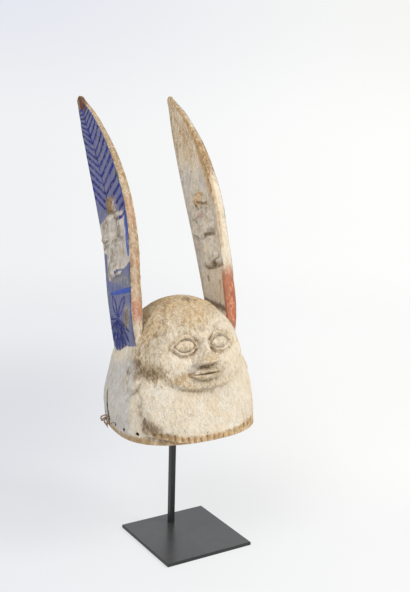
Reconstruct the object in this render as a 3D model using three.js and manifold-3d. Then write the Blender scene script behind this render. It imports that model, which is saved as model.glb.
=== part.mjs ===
// A carved crest mask with two tall ears, on its steel display stand.
// Millimetres, +Z up. The face looks along -Y, and +X is the mask's left.
// The origin is the middle of the underside of the stand's plate.
import * as THREE from "three";
import { mergeVertices } from "three/addons/utils/BufferGeometryUtils.js";
import Module from "manifold-3d";

const wasm = await Module();
wasm.setup();

const TOUCH_GAP = 0.3; // air between pieces that meet
const DEGREE = Math.PI / 180;

// Stand
const PLATE_SIDE = 160;
const PLATE_THICK = 6;
const PLATE_BEVEL = 0.6;
const ROD_SIDE = 9;
const ROD_Y = 50;
const ROD_CLEAR = 8; // the crown curves down behind its highest point

// Helmet: the plan at each height, as the middle of the plan along Y and the reach
// from there to the side, the front and the back
const RIM_Z = 200;
const CROWN_Z = 417;
const HEIGHTS = [RIM_Z, 240, 280, 320, 360, 390, 409, CROWN_Z];
const MIDDLES = [12, 12, 14, 18, 22, 26, 28, 28];
const SIDES = [121, 122, 112, 102, 88, 62, 34, 0];
const FRONTS = [87, 75, 65, 59, 53, 45, 30, 0];
const BACKS = [166, 172, 168, 149, 112, 72, 36, 0];
const FRONT_POWER = 2.35; // 2 is an ellipse, more is squarer
const BACK_POWER = 2.05;
const WALL = 14;

// Collar: a cape that hangs from the jaw to a hem just over the rim
const HEM_LOW = 1.6; // hem over the rim at the middle of the front
const HEM_HIGH = 13.5; // and at the collar's two corners
const HEM_PROUD = 8.5;
const HEM_STEP = 0.8;
const COLLAR_PROUD = 4.5;
const COLLAR_CORNER = 50 * DEGREE;
const COLLAR_TOP = 70 * DEGREE;
const NOTCHES = 22;
const NOTCH_LENGTH = 10;
const NOTCH_RADIUS = 1.9;

// Face, laid out in thirds from the hairline to the chin
const HAIR_Z = 404;
const CHIN_Z = 276;
const THIRD = (HAIR_Z - CHIN_Z) / 3;
const BROW_Z = HAIR_Z - THIRD;
const NOSE_Z = CHIN_Z + THIRD;
const MOUTH_Z = CHIN_Z + (THIRD * 2) / 3;
const EYE_Z = (CROWN_Z + CHIN_Z) / 2 + 2;
const EYE_APART = 34; // from the middle line to the middle of an eye
const EYE_HALF_WIDTH = 19;
const EYE_HALF_HEIGHT = 10.5;
const NOSE_PROUD = 24;
const NOSE_HALF_WIDTH = 19;
const LIP_PROUD = 10;
const MOUTH_HALF_WIDTH = 26;
const FACE_PROUD = 10;
const FACE_HALF_WIDTH = 112;
const FACE_MIDDLE_Z = 342; // the widest part of the face, level with the eyes
const FACE_TOP_REACH = 84; // from there up to where the forehead has sunk into the dome
const FACE_RADIUS = 101; // turns an angle round the helmet into a distance across the face

// Small ears at the ends of the jaw
const LOBE = { y: -3, z: 293, halfWidth: 9.5, halfHeight: 13.5, rim: 3, x: 102.5 };

// Rim holes, and the split that runs up from one of them
const HOLE_RADIUS = 2.6;
const HOLE_Z = RIM_Z + 15;
const HOLE_STEP = 29.5;
const HOLE_START = 61 * DEGREE;
const HOLE_SPARSE = 125 * DEGREE; // behind this angle the holes are twice as far apart
const SPLIT_LENGTH = 42;
const SPLIT_RADIUS = 2.6;
const SPLIT_LEAN = 7 * DEGREE; // the split runs back as it rises

// Tall ears: front edge, back edge (y, z) and the inner and outer face (x), base to tip
const EAR_FRONT_Y = [8, 13, 23, 38, 62, 110, 170, 222];
const EAR_FRONT_Z = [330, 380, 436, 508, 576, 643, 694, 722];
const EAR_BACK_Y = [86, 94, 112, 135, 166, 198, 223, 238];
const EAR_BACK_Z = [300, 356, 412, 478, 545, 610, 665, 711];
const EAR_INNER_X = [84, 80, 77.5, 75.5, 75.5, 78, 81, 82.5];
const EAR_OUTER_X = [92, 99, 98, 93.5, 92, 91.5, 91, 90.5];
const EAR_TIP = 13; // how far the rounded tip runs past the last station
const EAR_BEVEL = 1.8;
const EAR_BACK_ROUND = 3.6;
const EAR_WEDGE = 0.27; // share of the thickness that the inner face gives up towards the back
const EAR_BACK_THIN = 0.5; // and at the back edge

// Herringbone gouged in the outer face of each tall ear. Places along an ear are counted
// in stations, and places across it run from 0 at the back edge to 1 at the front edge.
const VEIN = 0.43;
const VEIN_HALF_WIDTH = 0.03;
const FRONT_BORDER = 0.86; // where the branches stop short of the front edge
const BACK_BORDER = 0.07;
const BRANCHES = 13;
const BRANCH_START = 4;
const BRANCH_END = 6.7;
const FRONT_RISE = 0.26; // stations that a branch climbs on its way to the front edge
const BACK_RISE = 0.45;
const GOUGE_DEPTH = 1.8;
const LEAF_RADIUS = 1.7;

// Figure in relief, on both faces of each tall ear, measured from its belly
const FIGURE_Y = 84;
const FIGURE_Z = 512;
const FIGURE_LEAN = 21 * DEGREE;
const FIGURE_TILT = 3.4 * DEGREE; // follows the outer face, which is thicker at the feet
const FIGURE_DEPTH = 8.5;

// Fibre ties in the rim holes
const TIE_RADIUS = 1.2;
const TIE_KNOT = 4.2;
const TIE_PROUD = 5; // how far the tie stands off the wood between its holes

const wood = { roughness: 0.85, metalness: 0 };
const materials = {
  mask: new THREE.MeshStandardMaterial({ color: 0xcfc0a4, ...wood }),
  steel: new THREE.MeshStandardMaterial({ color: 0x2b2b2c, roughness: 0.45, metalness: 0.6 }),
  fibre: new THREE.MeshStandardMaterial({ color: 0x8d7462, ...wood }),
};

function clamp01(value) {
  return Math.min(Math.max(value, 0), 1);
}

function smoothstep(low, high, value) {
  const t = clamp01((value - low) / (high - low));
  return t * t * (3 - 2 * t);
}

// A bell of height 1 round the middle
function bell(distance, width) {
  return Math.exp(-((distance / width) ** 2));
}

// Cubic curve through the values at the knots, each slope taken from the neighbours
function spline(knots, values, at) {
  const last = knots.length - 1;
  let i = 0;
  while (i < last - 1 && at > knots[i + 1]) i += 1;
  const slope = (k) => {
    const low = Math.max(k - 1, 0);
    const high = Math.min(k + 1, last);
    return (values[high] - values[low]) / (knots[high] - knots[low]);
  };
  const span = knots[i + 1] - knots[i];
  const s = (at - knots[i]) / span;
  const rise = values[i + 1] - values[i];
  const a = slope(i) * span;
  const b = slope(i + 1) * span;
  return values[i] + a * s + (3 * rise - 2 * a - b) * s * s + (a + b - 2 * rise) * s ** 3;
}

// Reach at a height, worked on squares so that the crown comes out round
function reach(values, z) {
  const squares = values.map((value) => value * value);
  return Math.sqrt(Math.max(spline(HEIGHTS, squares, z), 0));
}

// Point of the bare helmet, at an angle round it from the middle of the front
function helmetPoint(angle, z) {
  const c = Math.cos(angle);
  const s = Math.sin(angle);
  const power = c > 0 ? FRONT_POWER : BACK_POWER;
  const r = (Math.abs(c) ** power + Math.abs(s) ** power) ** (-1 / power);
  const along = c > 0 ? reach(FRONTS, z) : reach(BACKS, z);
  return new THREE.Vector3(
    reach(SIDES, z) * s * r,
    spline(HEIGHTS, MIDDLES, z) - along * c * r,
    z,
  );
}

function helmetNormal(angle, z) {
  const da = 0.01;
  const dz = 0.5;
  const high = Math.min(z + dz, CROWN_Z - 0.05);
  const round = helmetPoint(angle + da, z).sub(helmetPoint(angle - da, z));
  const up = helmetPoint(angle, high).sub(helmetPoint(angle, high - 2 * dz));
  return round.cross(up).normalize();
}

function hemHeight(angle) {
  const spread = smoothstep(16 * DEGREE, COLLAR_CORNER, Math.abs(angle));
  return RIM_Z + HEM_LOW + (HEM_HIGH - HEM_LOW) * spread;
}

function collarRelief(angle, z) {
  const hem = hemHeight(angle);
  if (z < hem) return 0;
  const rise = smoothstep(226, 296, z);
  const edge = COLLAR_CORNER + (COLLAR_TOP - COLLAR_CORNER) * rise;
  const side = 1 - smoothstep(edge - 3 * DEGREE, edge + 2 * DEGREE, Math.abs(angle));
  const proud = HEM_PROUD + (COLLAR_PROUD - HEM_PROUD) * clamp01((z - hem) / 60);
  return side * proud * (1 - smoothstep(292, 318, z));
}

// The head as a soft oval that stands out from the helmet, with a firm edge at the jaw
function faceMass(across, z) {
  const below = z < FACE_MIDDLE_Z;
  const half = below ? FACE_MIDDLE_Z - CHIN_Z : FACE_TOP_REACH;
  const outward = Math.abs(across) / FACE_HALF_WIDTH;
  const q = Math.hypot(outward, (z - FACE_MIDDLE_Z) / half);
  const low = below ? 0.9 : 0.45;
  const soft = THREE.MathUtils.lerp(0.5, low, smoothstep(0.9, 0.3, outward));
  return FACE_PROUD * (1 - smoothstep(Math.max(soft, low - 0.25), 1, q));
}

function eyeRelief(across, z) {
  const a = (Math.abs(across) - EYE_APART) / EYE_HALF_WIDTH;
  const b = (z - EYE_Z) / EYE_HALF_HEIGHT;
  const q = Math.hypot(a, b);
  const socket = -3.5 * bell(q, 1.5);
  const ball = 6 * Math.sqrt(Math.max(1 - q * q, 0));
  const lid = 4 * bell(q - 1.08, 0.22);
  return socket + ball + lid;
}

function noseRelief(across, z) {
  const s = clamp01((EYE_Z + 8 - z) / (EYE_Z + 4 - NOSE_Z));
  const width = 8 + (NOSE_HALF_WIDTH - 8) * s ** 1.5;
  const height = 5 + (NOSE_PROUD - 5) * s ** 1.2;
  const under = smoothstep(NOSE_Z - 3.5, NOSE_Z + 3, z);
  const above = 1 - smoothstep(EYE_Z + 2, EYE_Z + 18, z);
  const ridge = Math.exp(-((Math.abs(across) / width) ** 2.6));
  const wings = 6.5 * bell(Math.abs(across) - 14, 6) * bell(z - NOSE_Z - 6, 6.5);
  return (height * ridge + wings) * under * above;
}

function mouthRelief(across, z) {
  const open = Math.max(1 - (across / MOUTH_HALF_WIDTH) ** 2, 0);
  const upper = LIP_PROUD * bell(z - MOUTH_Z - 5.8, 4.4);
  const lower = LIP_PROUD * bell(z - MOUTH_Z + 6, 4.8);
  const mound = 4 * bell(across, 30) * bell(z - MOUTH_Z, 16);
  return (upper + lower) * open ** 0.6 + mound;
}

// How far the carving stands out from the bare helmet
function relief(angle, z) {
  const across = FACE_RADIUS * angle;
  const height = Math.max(collarRelief(angle, z), faceMass(across, z));
  const front = 1 - smoothstep(78, 100, Math.abs(across));
  const brow = 3.5 * bell(z - BROW_Z - 2 + (Math.abs(across) - 30) ** 2 / 160, 5.5);
  const browSide = brow * (1 - smoothstep(46, 66, Math.abs(across)));
  const chin = 4 * bell(across, 22) * bell(z - CHIN_Z - 10, 9);
  const carved = eyeRelief(across, z) + noseRelief(across, z) + mouthRelief(across, z);
  return height + front * (carved + browSide + chin);
}

function carvedPoint(angle, z) {
  const point = helmetPoint(angle, z);
  return point.addScaledVector(helmetNormal(angle, z), relief(angle, z));
}

// Closed skin over rings of points, each end closed by a fan to its own middle point
function ringSkin(rings, startPoint, endPoint) {
  const count = rings[0].length;
  const points = [...rings.flat(), startPoint, endPoint];
  const start = points.length - 2;
  const end = points.length - 1;
  const faces = [];
  for (let j = 0; j < count; j += 1) {
    const k = (j + 1) % count;
    faces.push(start, k, j);
    for (let i = 0; i + 1 < rings.length; i += 1) {
      const low = i * count;
      const high = low + count;
      faces.push(low + j, low + k, high + k, low + j, high + k, high + j);
    }
    const top = (rings.length - 1) * count;
    faces.push(top + j, top + k, end);
  }
  const geometry = new THREE.BufferGeometry();
  geometry.setFromPoints(points);
  geometry.setIndex(faces);
  return geometry;
}

// Closed geometry to a solid: vertices merged, collapsed faces dropped, faces turned outwards
function toSolid(geometry) {
  const bare = geometry.clone();
  bare.deleteAttribute("normal");
  bare.deleteAttribute("uv");
  const merged = mergeVertices(bare, 1e-3);
  const index = merged.index.array;
  const position = merged.attributes.position;
  const kept = [];
  let volume = 0;
  const corners = [new THREE.Vector3(), new THREE.Vector3(), new THREE.Vector3()];
  for (let i = 0; i < index.length; i += 3) {
    const [a, b, c] = index.slice(i, i + 3);
    if (a === b || b === c || c === a) continue;
    kept.push([a, b, c]);
    [a, b, c].forEach((vertex, n) => corners[n].fromBufferAttribute(position, vertex));
    volume += corners[0].dot(corners[1].clone().cross(corners[2]));
  }
  const faces = volume < 0 ? kept.map(([a, b, c]) => [a, c, b]) : kept;
  const triVerts = new Uint32Array(faces.flat());
  const mesh = new wasm.Mesh({ numProp: 3, vertProperties: position.array, triVerts });
  return new wasm.Manifold(mesh);
}

function join(solids) {
  return solids.reduce((whole, solid) => whole.add(solid));
}

function toMesh(name, solid, material) {
  const mesh = solid.getMesh();
  const geometry = new THREE.BufferGeometry();
  geometry.setAttribute("position", new THREE.BufferAttribute(mesh.vertProperties, 3));
  geometry.setIndex(new THREE.BufferAttribute(mesh.triVerts, 1));
  const made = new THREE.Mesh(geometry, material);
  made.name = name;
  return made;
}

// Round bar between two points, with few sides; a cutter for grooves and holes
function bar(from, to, radius, sides, endRadius = radius) {
  const along = to.clone().sub(from);
  const geometry = new THREE.CylinderGeometry(endRadius, radius, along.length(), sides);
  const up = new THREE.Vector3(0, 1, 0);
  geometry.applyQuaternion(new THREE.Quaternion().setFromUnitVectors(up, along.normalize()));
  const middle = from.clone().add(to).multiplyScalar(0.5);
  return geometry.translate(middle.x, middle.y, middle.z);
}

function evenly(from, to, steps) {
  return Array.from({ length: steps }, (_, i) => from + ((to - from) * i) / steps);
}

// Columns close together over the face, wider at the sides and widest at the back
function helmetAngles() {
  const half = [
    ...evenly(0, 57, 11),
    ...evenly(57, 90, 4),
    ...evenly(90, 150, 4),
    ...evenly(150, Math.PI * FACE_RADIUS, 5),
  ].map((across) => across / FACE_RADIUS);
  return [...half, Math.PI, ...half.slice(1).reverse().map((angle) => -angle)];
}

// Rows from the rim to the crown, closest where the face is carved
function helmetRows() {
  const levels = [
    ...evenly(224, 272, 2),
    ...evenly(272, 292, 3),
    ...evenly(292, 318, 7),
    ...evenly(318, 330, 2),
    ...evenly(330, 366, 9),
    ...evenly(366, 402, 3),
    ...evenly(402, CROWN_Z, 3),
    CROWN_Z - 1.5,
  ];
  return [
    () => RIM_Z,
    (angle) => hemHeight(angle) - HEM_STEP,
    (angle) => hemHeight(angle) + HEM_STEP,
    ...levels.map((z) => () => z),
  ];
}

function outerHelmet() {
  const angles = helmetAngles();
  const rings = helmetRows().map((row) => angles.map((angle) => carvedPoint(angle, row(angle))));
  const base = new THREE.Vector3(0, MIDDLES[0], RIM_Z);
  const crown = new THREE.Vector3(0, MIDDLES.at(-1), CROWN_Z);
  return toSolid(ringSkin(rings, base, crown));
}

// The space for the wearer's head, a wall's thickness in from the bare helmet
function innerHelmet() {
  const angles = evenly(0, 2 * Math.PI, 26);
  const levels = [...evenly(RIM_Z, 360, 4), ...evenly(360, CROWN_Z - 6, 4), CROWN_Z - 6];
  const rings = levels.map((z) =>
    angles.map((angle) => {
      const inset = helmetNormal(angle, z).multiplyScalar(-WALL);
      return helmetPoint(angle, z).add(inset);
    }),
  );
  const mouth = rings[0].map((point) => new THREE.Vector3(point.x, point.y, RIM_Z - WALL));
  const base = new THREE.Vector3(0, MIDDLES[0], RIM_Z - WALL);
  const crown = new THREE.Vector3(0, MIDDLES.at(-1), CROWN_Z - WALL);
  return toSolid(ringSkin([mouth, ...rings], base, crown));
}

// Point on a face of the tall ear on the +X side: station, place across and face
function earPoint(station, across, face, inset = 0) {
  const knots = EAR_FRONT_Y.map((_, i) => i);
  const at = (values) => spline(knots, values, station);
  const y = THREE.MathUtils.lerp(at(EAR_BACK_Y), at(EAR_FRONT_Y), across);
  const z = THREE.MathUtils.lerp(at(EAR_BACK_Z), at(EAR_FRONT_Z), across);
  const x = face === "outer" ? at(EAR_OUTER_X) - inset : at(EAR_INNER_X) + inset;
  return new THREE.Vector3(x, y, z);
}

function earThickness(station) {
  return earPoint(station, 0, "outer").x - earPoint(station, 0, "inner").x;
}

// How far along the ear a branch has climbed when it is this far across
function climb(across) {
  return across > VEIN
    ? (FRONT_RISE * (across - VEIN)) / (FRONT_BORDER - VEIN)
    : (BACK_RISE * (VEIN - across)) / (VEIN - BACK_BORDER);
}

// Ring of an ear's section, square at the front edge and rounded at the back edge. Its
// rows bend with the branches, and a gouged row is sunk between the two borders.
function earRing(station, gouged, bend) {
  const sunk = gouged ? GOUGE_DEPTH * Math.min(2 * bend, 1) : 0;
  const vein = GOUGE_DEPTH * Math.min(2 * bend, 1);
  const thickness = earThickness(station);
  const at = (across, face, inset) =>
    earPoint(station + bend * climb(across), across, face, inset);
  return [
    at(0, "outer", EAR_BACK_ROUND),
    at(0.04, "outer", EAR_BACK_ROUND / 3),
    at(BACK_BORDER, "outer", 0),
    at(BACK_BORDER + 0.03, "outer", sunk),
    at(VEIN - VEIN_HALF_WIDTH, "outer", sunk),
    at(VEIN, "outer", vein),
    at(VEIN + VEIN_HALF_WIDTH, "outer", sunk),
    at(FRONT_BORDER - 0.03, "outer", sunk),
    at(FRONT_BORDER, "outer", 0),
    at(0.98, "outer", 0),
    at(1, "outer", EAR_BEVEL),
    at(1, "inner", EAR_BEVEL),
    at(0.98, "inner", 0),
    at(0.12, "inner", EAR_WEDGE * thickness),
    at(0, "inner", EAR_BACK_THIN * thickness),
  ];
}

function middleOf(points) {
  const sum = points.reduce((total, point) => total.add(point), new THREE.Vector3());
  return sum.divideScalar(points.length);
}

function earBlade() {
  const last = EAR_FRONT_Y.length - 1;
  const rings = evenly(0, BRANCH_START - 0.3, 7).map((station) => earRing(station, false, 0));
  const step = (BRANCH_END - BRANCH_START) / BRANCHES;
  for (const station of evenly(BRANCH_START, BRANCH_END, BRANCHES)) {
    const bend = clamp01((last - 0.25 - station) / 1.2);
    rings.push(earRing(station - step / 2, false, bend));
    rings.push(earRing(station, true, bend));
  }
  rings.push(earRing(last - 0.25, false, 0));
  const end = earRing(last, false, 0);
  const middle = middleOf(end);
  const before = earPoint(last - 0.2, 0.5, "outer").setX(0);
  const onward = earPoint(last, 0.5, "outer").setX(0).sub(before).normalize();
  for (const turn of [0, 35, 65]) {
    const shrink = Math.cos(turn * DEGREE);
    const shift = onward.clone().multiplyScalar(EAR_TIP * Math.sin(turn * DEGREE));
    rings.push(end.map((p) => p.clone().lerp(middle, 1 - shrink).add(shift)));
  }
  const apex = middle.clone().addScaledVector(onward, EAR_TIP);
  return toSolid(ringSkin(rings, middleOf(rings[0]), apex));
}

// Gouged line on the outer face between two places, given as station and place across
function gouge(from, to, radius = LEAF_RADIUS) {
  const start = earPoint(...from, "outer");
  const finish = earPoint(...to, "outer");
  return toSolid(bar(start, finish, radius, 4, radius * 0.7));
}

// Leaves below the figure: two loops that cross and fan out to a pointed end
function leaves() {
  const lines = [gouge([1.2, 0.5], [0.45, 0.5])];
  for (const side of [-1, 1]) {
    const at = (across) => 0.5 + side * across;
    lines.push(gouge([1.75, at(0.26)], [1.25, at(0.03)]));
    lines.push(gouge([1.2, at(0.04)], [0.7, at(0.14)]));
    lines.push(gouge([1.2, at(0.06)], [0.9, at(0.32)]));
  }
  return join(lines);
}

// Limb of the figure: a flattened bar between two places in its frame
function limb([p0, q0], [p1, q1], radius, endRadius, depth = FIGURE_DEPTH, sides = 4) {
  const from = new THREE.Vector3(0, p0, q0);
  const to = new THREE.Vector3(0, p1, q1);
  const geometry = bar(from, to, radius, sides, endRadius);
  return toSolid(geometry.scale(depth / Math.max(radius, endRadius), 1, 1));
}

// A standing figure with a cap, its hands at its belly, in its own upright frame
function figureInFrame() {
  const head = new THREE.SphereGeometry(1, 8, 4);
  head.rotateX(Math.PI / 2);
  head.scale(FIGURE_DEPTH, 16, 13).translate(0, 0, 49);
  const parts = [toSolid(head), limb([0, -24], [0, 38], 14, 20, FIGURE_DEPTH, 6)];
  for (const side of [-1, 1]) {
    parts.push(limb([side * 23, -4], [side * 20, 31], 4.5, 5.5, 7));
    parts.push(limb([side * 24, -4], [side * 5, -13], 5, 4, 10));
    parts.push(limb([side * 9.5, -58], [side * 8, -20], 6, 8.5, 7.5));
    parts.push(limb([side * 17, -60], [side * 4, -57], 3.5, 5.5));
  }
  return join(parts);
}

// The figure leans with the ear: its frame is turned and set on the given face
function placedFigure(x, tilt) {
  const place = new THREE.Matrix4().makeRotationY(-tilt);
  place.multiply(new THREE.Matrix4().makeRotationX(-FIGURE_LEAN));
  place.setPosition(x, FIGURE_Y, FIGURE_Z);
  return figureInFrame().transform(place.elements);
}

function tallEar() {
  const outerX = earPoint(3, 0.5, "outer").x;
  const innerX = earPoint(3, 0.5, "inner").x;
  const figures = [placedFigure(outerX, FIGURE_TILT), placedFigure(innerX + 3, 0)];
  return join([earBlade().subtract(leaves()), ...figures]);
}

function mirrored(solid) {
  return solid.mirror([1, 0, 0]);
}

// Raised oval rim of a small ear
function smallEar() {
  const ring = new THREE.TorusGeometry(1, LOBE.rim / LOBE.halfHeight, 5, 12);
  ring.rotateY(Math.PI / 2);
  ring.scale(LOBE.halfHeight * 1.1, LOBE.halfWidth, LOBE.halfHeight);
  return toSolid(ring.translate(LOBE.x, LOBE.y, LOBE.z));
}

function notches() {
  const reachOut = COLLAR_CORNER * 0.93;
  return join(
    evenly(-reachOut, reachOut + 0.07, NOTCHES).map((angle) => {
      const low = carvedPoint(angle, hemHeight(angle) + HEM_STEP);
      const high = carvedPoint(angle, hemHeight(angle) + NOTCH_LENGTH);
      low.z -= 3;
      return toSolid(bar(low, high, NOTCH_RADIUS, 3, NOTCH_RADIUS * 0.6));
    }),
  );
}

// Angles of the rim holes, a set distance apart round the back of the rim
function holeAngles() {
  const found = [];
  let walked = HOLE_STEP;
  const step = 0.25 * DEGREE;
  for (let angle = HOLE_START; angle <= Math.PI; angle += step) {
    if (walked >= (angle < HOLE_SPARSE ? HOLE_STEP : 2 * HOLE_STEP)) {
      found.push(angle);
      walked = 0;
    }
    walked += helmetPoint(angle + step, HOLE_Z).distanceTo(helmetPoint(angle, HOLE_Z));
  }
  return found;
}

// Level direction straight out through the wall at a hole
function holeAxis(angle) {
  return helmetNormal(angle, HOLE_Z).setZ(0).normalize();
}

function holeCutter(angle) {
  const middle = helmetPoint(angle, HOLE_Z);
  const out = holeAxis(angle);
  const from = middle.clone().addScaledVector(out, -WALL * 1.6);
  return toSolid(bar(from, middle.clone().addScaledVector(out, WALL * 0.4), HOLE_RADIUS, 6));
}

// The split in the wood above one hole on the mask's right
function split(angle) {
  const low = helmetPoint(angle, HOLE_Z);
  const high = helmetPoint(angle - SPLIT_LEAN, HOLE_Z + SPLIT_LENGTH);
  return toSolid(bar(low, high, SPLIT_RADIUS, 4, 0.5));
}

function makeMask() {
  const ear = tallEar();
  const lobe = smallEar();
  const shell = join([outerHelmet(), ear, mirrored(ear), lobe, mirrored(lobe)]);
  const holes = holeAngles().flatMap((angle) => [holeCutter(angle), holeCutter(-angle)]);
  const cut = join([innerHelmet(), notches(), split(-holeAngles()[3]), ...holes]);
  return toMesh("mask", shell.subtract(cut), materials.mask);
}

function makePlate() {
  const flat = PLATE_SIDE - 2 * PLATE_BEVEL;
  const outline = new THREE.Shape([
    new THREE.Vector2(-flat / 2, -flat / 2),
    new THREE.Vector2(flat / 2, -flat / 2),
    new THREE.Vector2(flat / 2, flat / 2),
    new THREE.Vector2(-flat / 2, flat / 2),
  ]);
  const geometry = new THREE.ExtrudeGeometry(outline, {
    depth: PLATE_THICK - 2 * PLATE_BEVEL,
    bevelThickness: PLATE_BEVEL,
    bevelSize: PLATE_BEVEL,
    bevelSegments: 1,
  });
  geometry.translate(0, 0, PLATE_BEVEL);
  return toMesh("stand_plate", toSolid(geometry), materials.steel);
}

// The rod runs from the plate to just under the inside of the crown
function makeRod() {
  const bottom = PLATE_THICK + TOUCH_GAP;
  const top = CROWN_Z - WALL - ROD_CLEAR;
  const geometry = new THREE.BoxGeometry(ROD_SIDE, ROD_SIDE, top - bottom);
  geometry.translate(0, ROD_Y, (top + bottom) / 2);
  return toMesh("stand_rod", toSolid(geometry), materials.steel);
}

function cordAlong(points, steps) {
  const path = new THREE.CatmullRomCurve3(points);
  const section = new THREE.Shape();
  section.absarc(0, 0, TIE_RADIUS, 0, 2 * Math.PI);
  const options = { steps, curveSegments: 3, extrudePath: path };
  return toSolid(new THREE.ExtrudeGeometry(section, options));
}

// Place beside the rim on the mask's right, at a distance out from the wood
function besideRim(angle, z, distance) {
  return helmetPoint(-angle, z).addScaledVector(holeAxis(-angle), distance);
}

// A tie that goes out through one rim hole and in through the next, knotted outside
function makeTie() {
  const [from, to] = [holeAngles()[3], holeAngles()[4]];
  const middle = (from + to) / 2;
  const loop = [
    besideRim(from, HOLE_Z, 2 - WALL),
    besideRim(from, HOLE_Z, 1),
    besideRim(middle, HOLE_Z - 2, TIE_PROUD),
    besideRim(to, HOLE_Z, 1),
    besideRim(to, HOLE_Z, 2 - WALL),
  ];
  const centre = besideRim(middle, HOLE_Z - 2, TIE_PROUD + 1);
  const knot = new THREE.IcosahedronGeometry(TIE_KNOT, 1);
  const ends = [-0.05, 0.05].map((turn) => {
    const hanging = besideRim(middle + turn, HOLE_Z - 6, TIE_PROUD + 3);
    const tip = besideRim(middle + 1.2 * turn, HOLE_Z - 13, TIE_PROUD);
    return cordAlong([centre, hanging, tip], 2);
  });
  const knotSolid = toSolid(knot.translate(centre.x, centre.y, centre.z));
  return toMesh("rim_tie", join([cordAlong(loop, 8), knotSolid, ...ends]), materials.fibre);
}

// A short cord through the next hole, its outer end laid back along the rim
function makeShortTie() {
  const angle = holeAngles()[2];
  const cord = [
    besideRim(angle, HOLE_Z, -WALL - 4),
    besideRim(angle, HOLE_Z, -WALL / 2),
    besideRim(angle, HOLE_Z, 2),
    besideRim(angle + 0.03, HOLE_Z - 0.5, TIE_PROUD - 0.5),
    besideRim(angle + 0.08, HOLE_Z - 2, TIE_PROUD - 1),
  ];
  return toMesh("rim_tie_short", cordAlong(cord, 12), materials.fibre);
}

const group = new THREE.Group();
group.add(makeMask(), makePlate(), makeRod(), makeTie(), makeShortTie());

export default group;
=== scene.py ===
# A carved crest mask with two tall painted ears, on its black steel display stand.
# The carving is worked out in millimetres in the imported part's own frame: +Z up, the face
# looks along -Y, +X is the mask's left. Places are set on the meshes in metres.
import math
from types import SimpleNamespace

import bpy
import numpy as np
from mathutils import Matrix, Vector
from mathutils.kdtree import KDTree


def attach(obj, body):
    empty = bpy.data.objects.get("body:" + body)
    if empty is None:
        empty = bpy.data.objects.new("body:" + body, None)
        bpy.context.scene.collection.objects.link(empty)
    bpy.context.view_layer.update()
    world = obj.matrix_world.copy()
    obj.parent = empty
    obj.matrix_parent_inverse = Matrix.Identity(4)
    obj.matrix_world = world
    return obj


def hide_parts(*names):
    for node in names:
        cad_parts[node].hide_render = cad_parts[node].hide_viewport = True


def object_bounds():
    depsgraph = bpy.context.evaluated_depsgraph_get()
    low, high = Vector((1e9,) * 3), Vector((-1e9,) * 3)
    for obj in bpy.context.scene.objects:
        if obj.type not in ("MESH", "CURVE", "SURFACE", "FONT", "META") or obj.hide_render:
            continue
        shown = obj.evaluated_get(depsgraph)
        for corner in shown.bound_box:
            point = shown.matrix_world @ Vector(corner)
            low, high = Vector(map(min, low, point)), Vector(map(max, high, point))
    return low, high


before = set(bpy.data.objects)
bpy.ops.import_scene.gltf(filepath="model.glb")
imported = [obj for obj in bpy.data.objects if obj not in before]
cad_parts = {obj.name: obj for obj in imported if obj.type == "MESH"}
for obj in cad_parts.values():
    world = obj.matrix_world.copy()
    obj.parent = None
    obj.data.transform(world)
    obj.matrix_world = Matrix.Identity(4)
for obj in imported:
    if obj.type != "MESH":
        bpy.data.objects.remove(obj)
packed_low, packed_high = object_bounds()

MM = 0.001
DEGREE = math.pi / 180
# seeds of the noise on each skin, and of the ties' first cord
HELMET_SEED = 11
HOLLOW_SEED = 31
LEFT_EAR_SEED = 41
RIGHT_EAR_SEED = 57
TIE_SEED = 70
# a distance in millimetres at which no line of paint shows
FAR = 99.0
# the way the camera looks, level over the floor
HEADING = (0.53, 0.848)

# Helmet: the plan at each height, as in the solids
RIM_Z = 200.0
CROWN_Z = 417.0
HEIGHTS = (RIM_Z, 240, 280, 320, 360, 390, 409, CROWN_Z)
MIDDLES = (12, 12, 14, 18, 22, 26, 28, 28)
SIDES = (121, 122, 112, 102, 88, 62, 34, 0)
FRONTS = (87, 75, 65, 59, 53, 45, 30, 0)
BACKS = (166, 172, 168, 149, 112, 72, 36, 0)
FRONT_POWER = 2.35
BACK_POWER = 2.05
WALL = 14.0
WOOD_EDGE = 50 * DEGREE  # edges sharper than this stay sharp

# Collar and its notched hem
HEM_LOW = 1.6
HEM_HIGH = 13.5
HEM_PROUD = 8.5
HEM_STEP = 0.8
HEM_LEVEL = 16 * DEGREE
COLLAR_PROUD = 4.5
COLLAR_CORNER = 50 * DEGREE
COLLAR_TOP = 70 * DEGREE
COLLAR_TURN_LOW = 226
COLLAR_TURN_HIGH = 296
COLLAR_FADE_LOW = 292
COLLAR_FADE_HIGH = 318
NOTCH_PITCH = 8.6
NOTCH_LENGTH = 10.0
NOTCH_DEPTH = 3.2

# Face, laid out in thirds from the hairline to the chin
HAIR_Z = 404.0
CHIN_Z = 276.0
THIRD = (HAIR_Z - CHIN_Z) / 3
BROW_Z = HAIR_Z - THIRD
NOSE_Z = CHIN_Z + THIRD
MOUTH_Z = CHIN_Z + THIRD * 2 / 3
EYE_Z = (CROWN_Z + CHIN_Z) / 2 + 2
EYE_APART = 34.0
EYE_HALF_WIDTH = 19.0
EYE_HALF_HEIGHT = 10.5
NOSE_PROUD = 24.0
NOSE_HALF_WIDTH = 19.0
LIP_PROUD = 10.0
MOUTH_HALF_WIDTH = 26.0
FACE_PROUD = 10.0
FACE_HALF_WIDTH = 112.0
FACE_RADIUS = 101.0
FACE_MIDDLE_Z = 342.0
FACE_ABOVE = 84

# Small ears
LOBE_X = 80
LOBE_Y = -3.0
LOBE_Z = 293.0
LOBE_HALF_WIDTH = 9.5
LOBE_HALF_HEIGHT = 13.5

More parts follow.
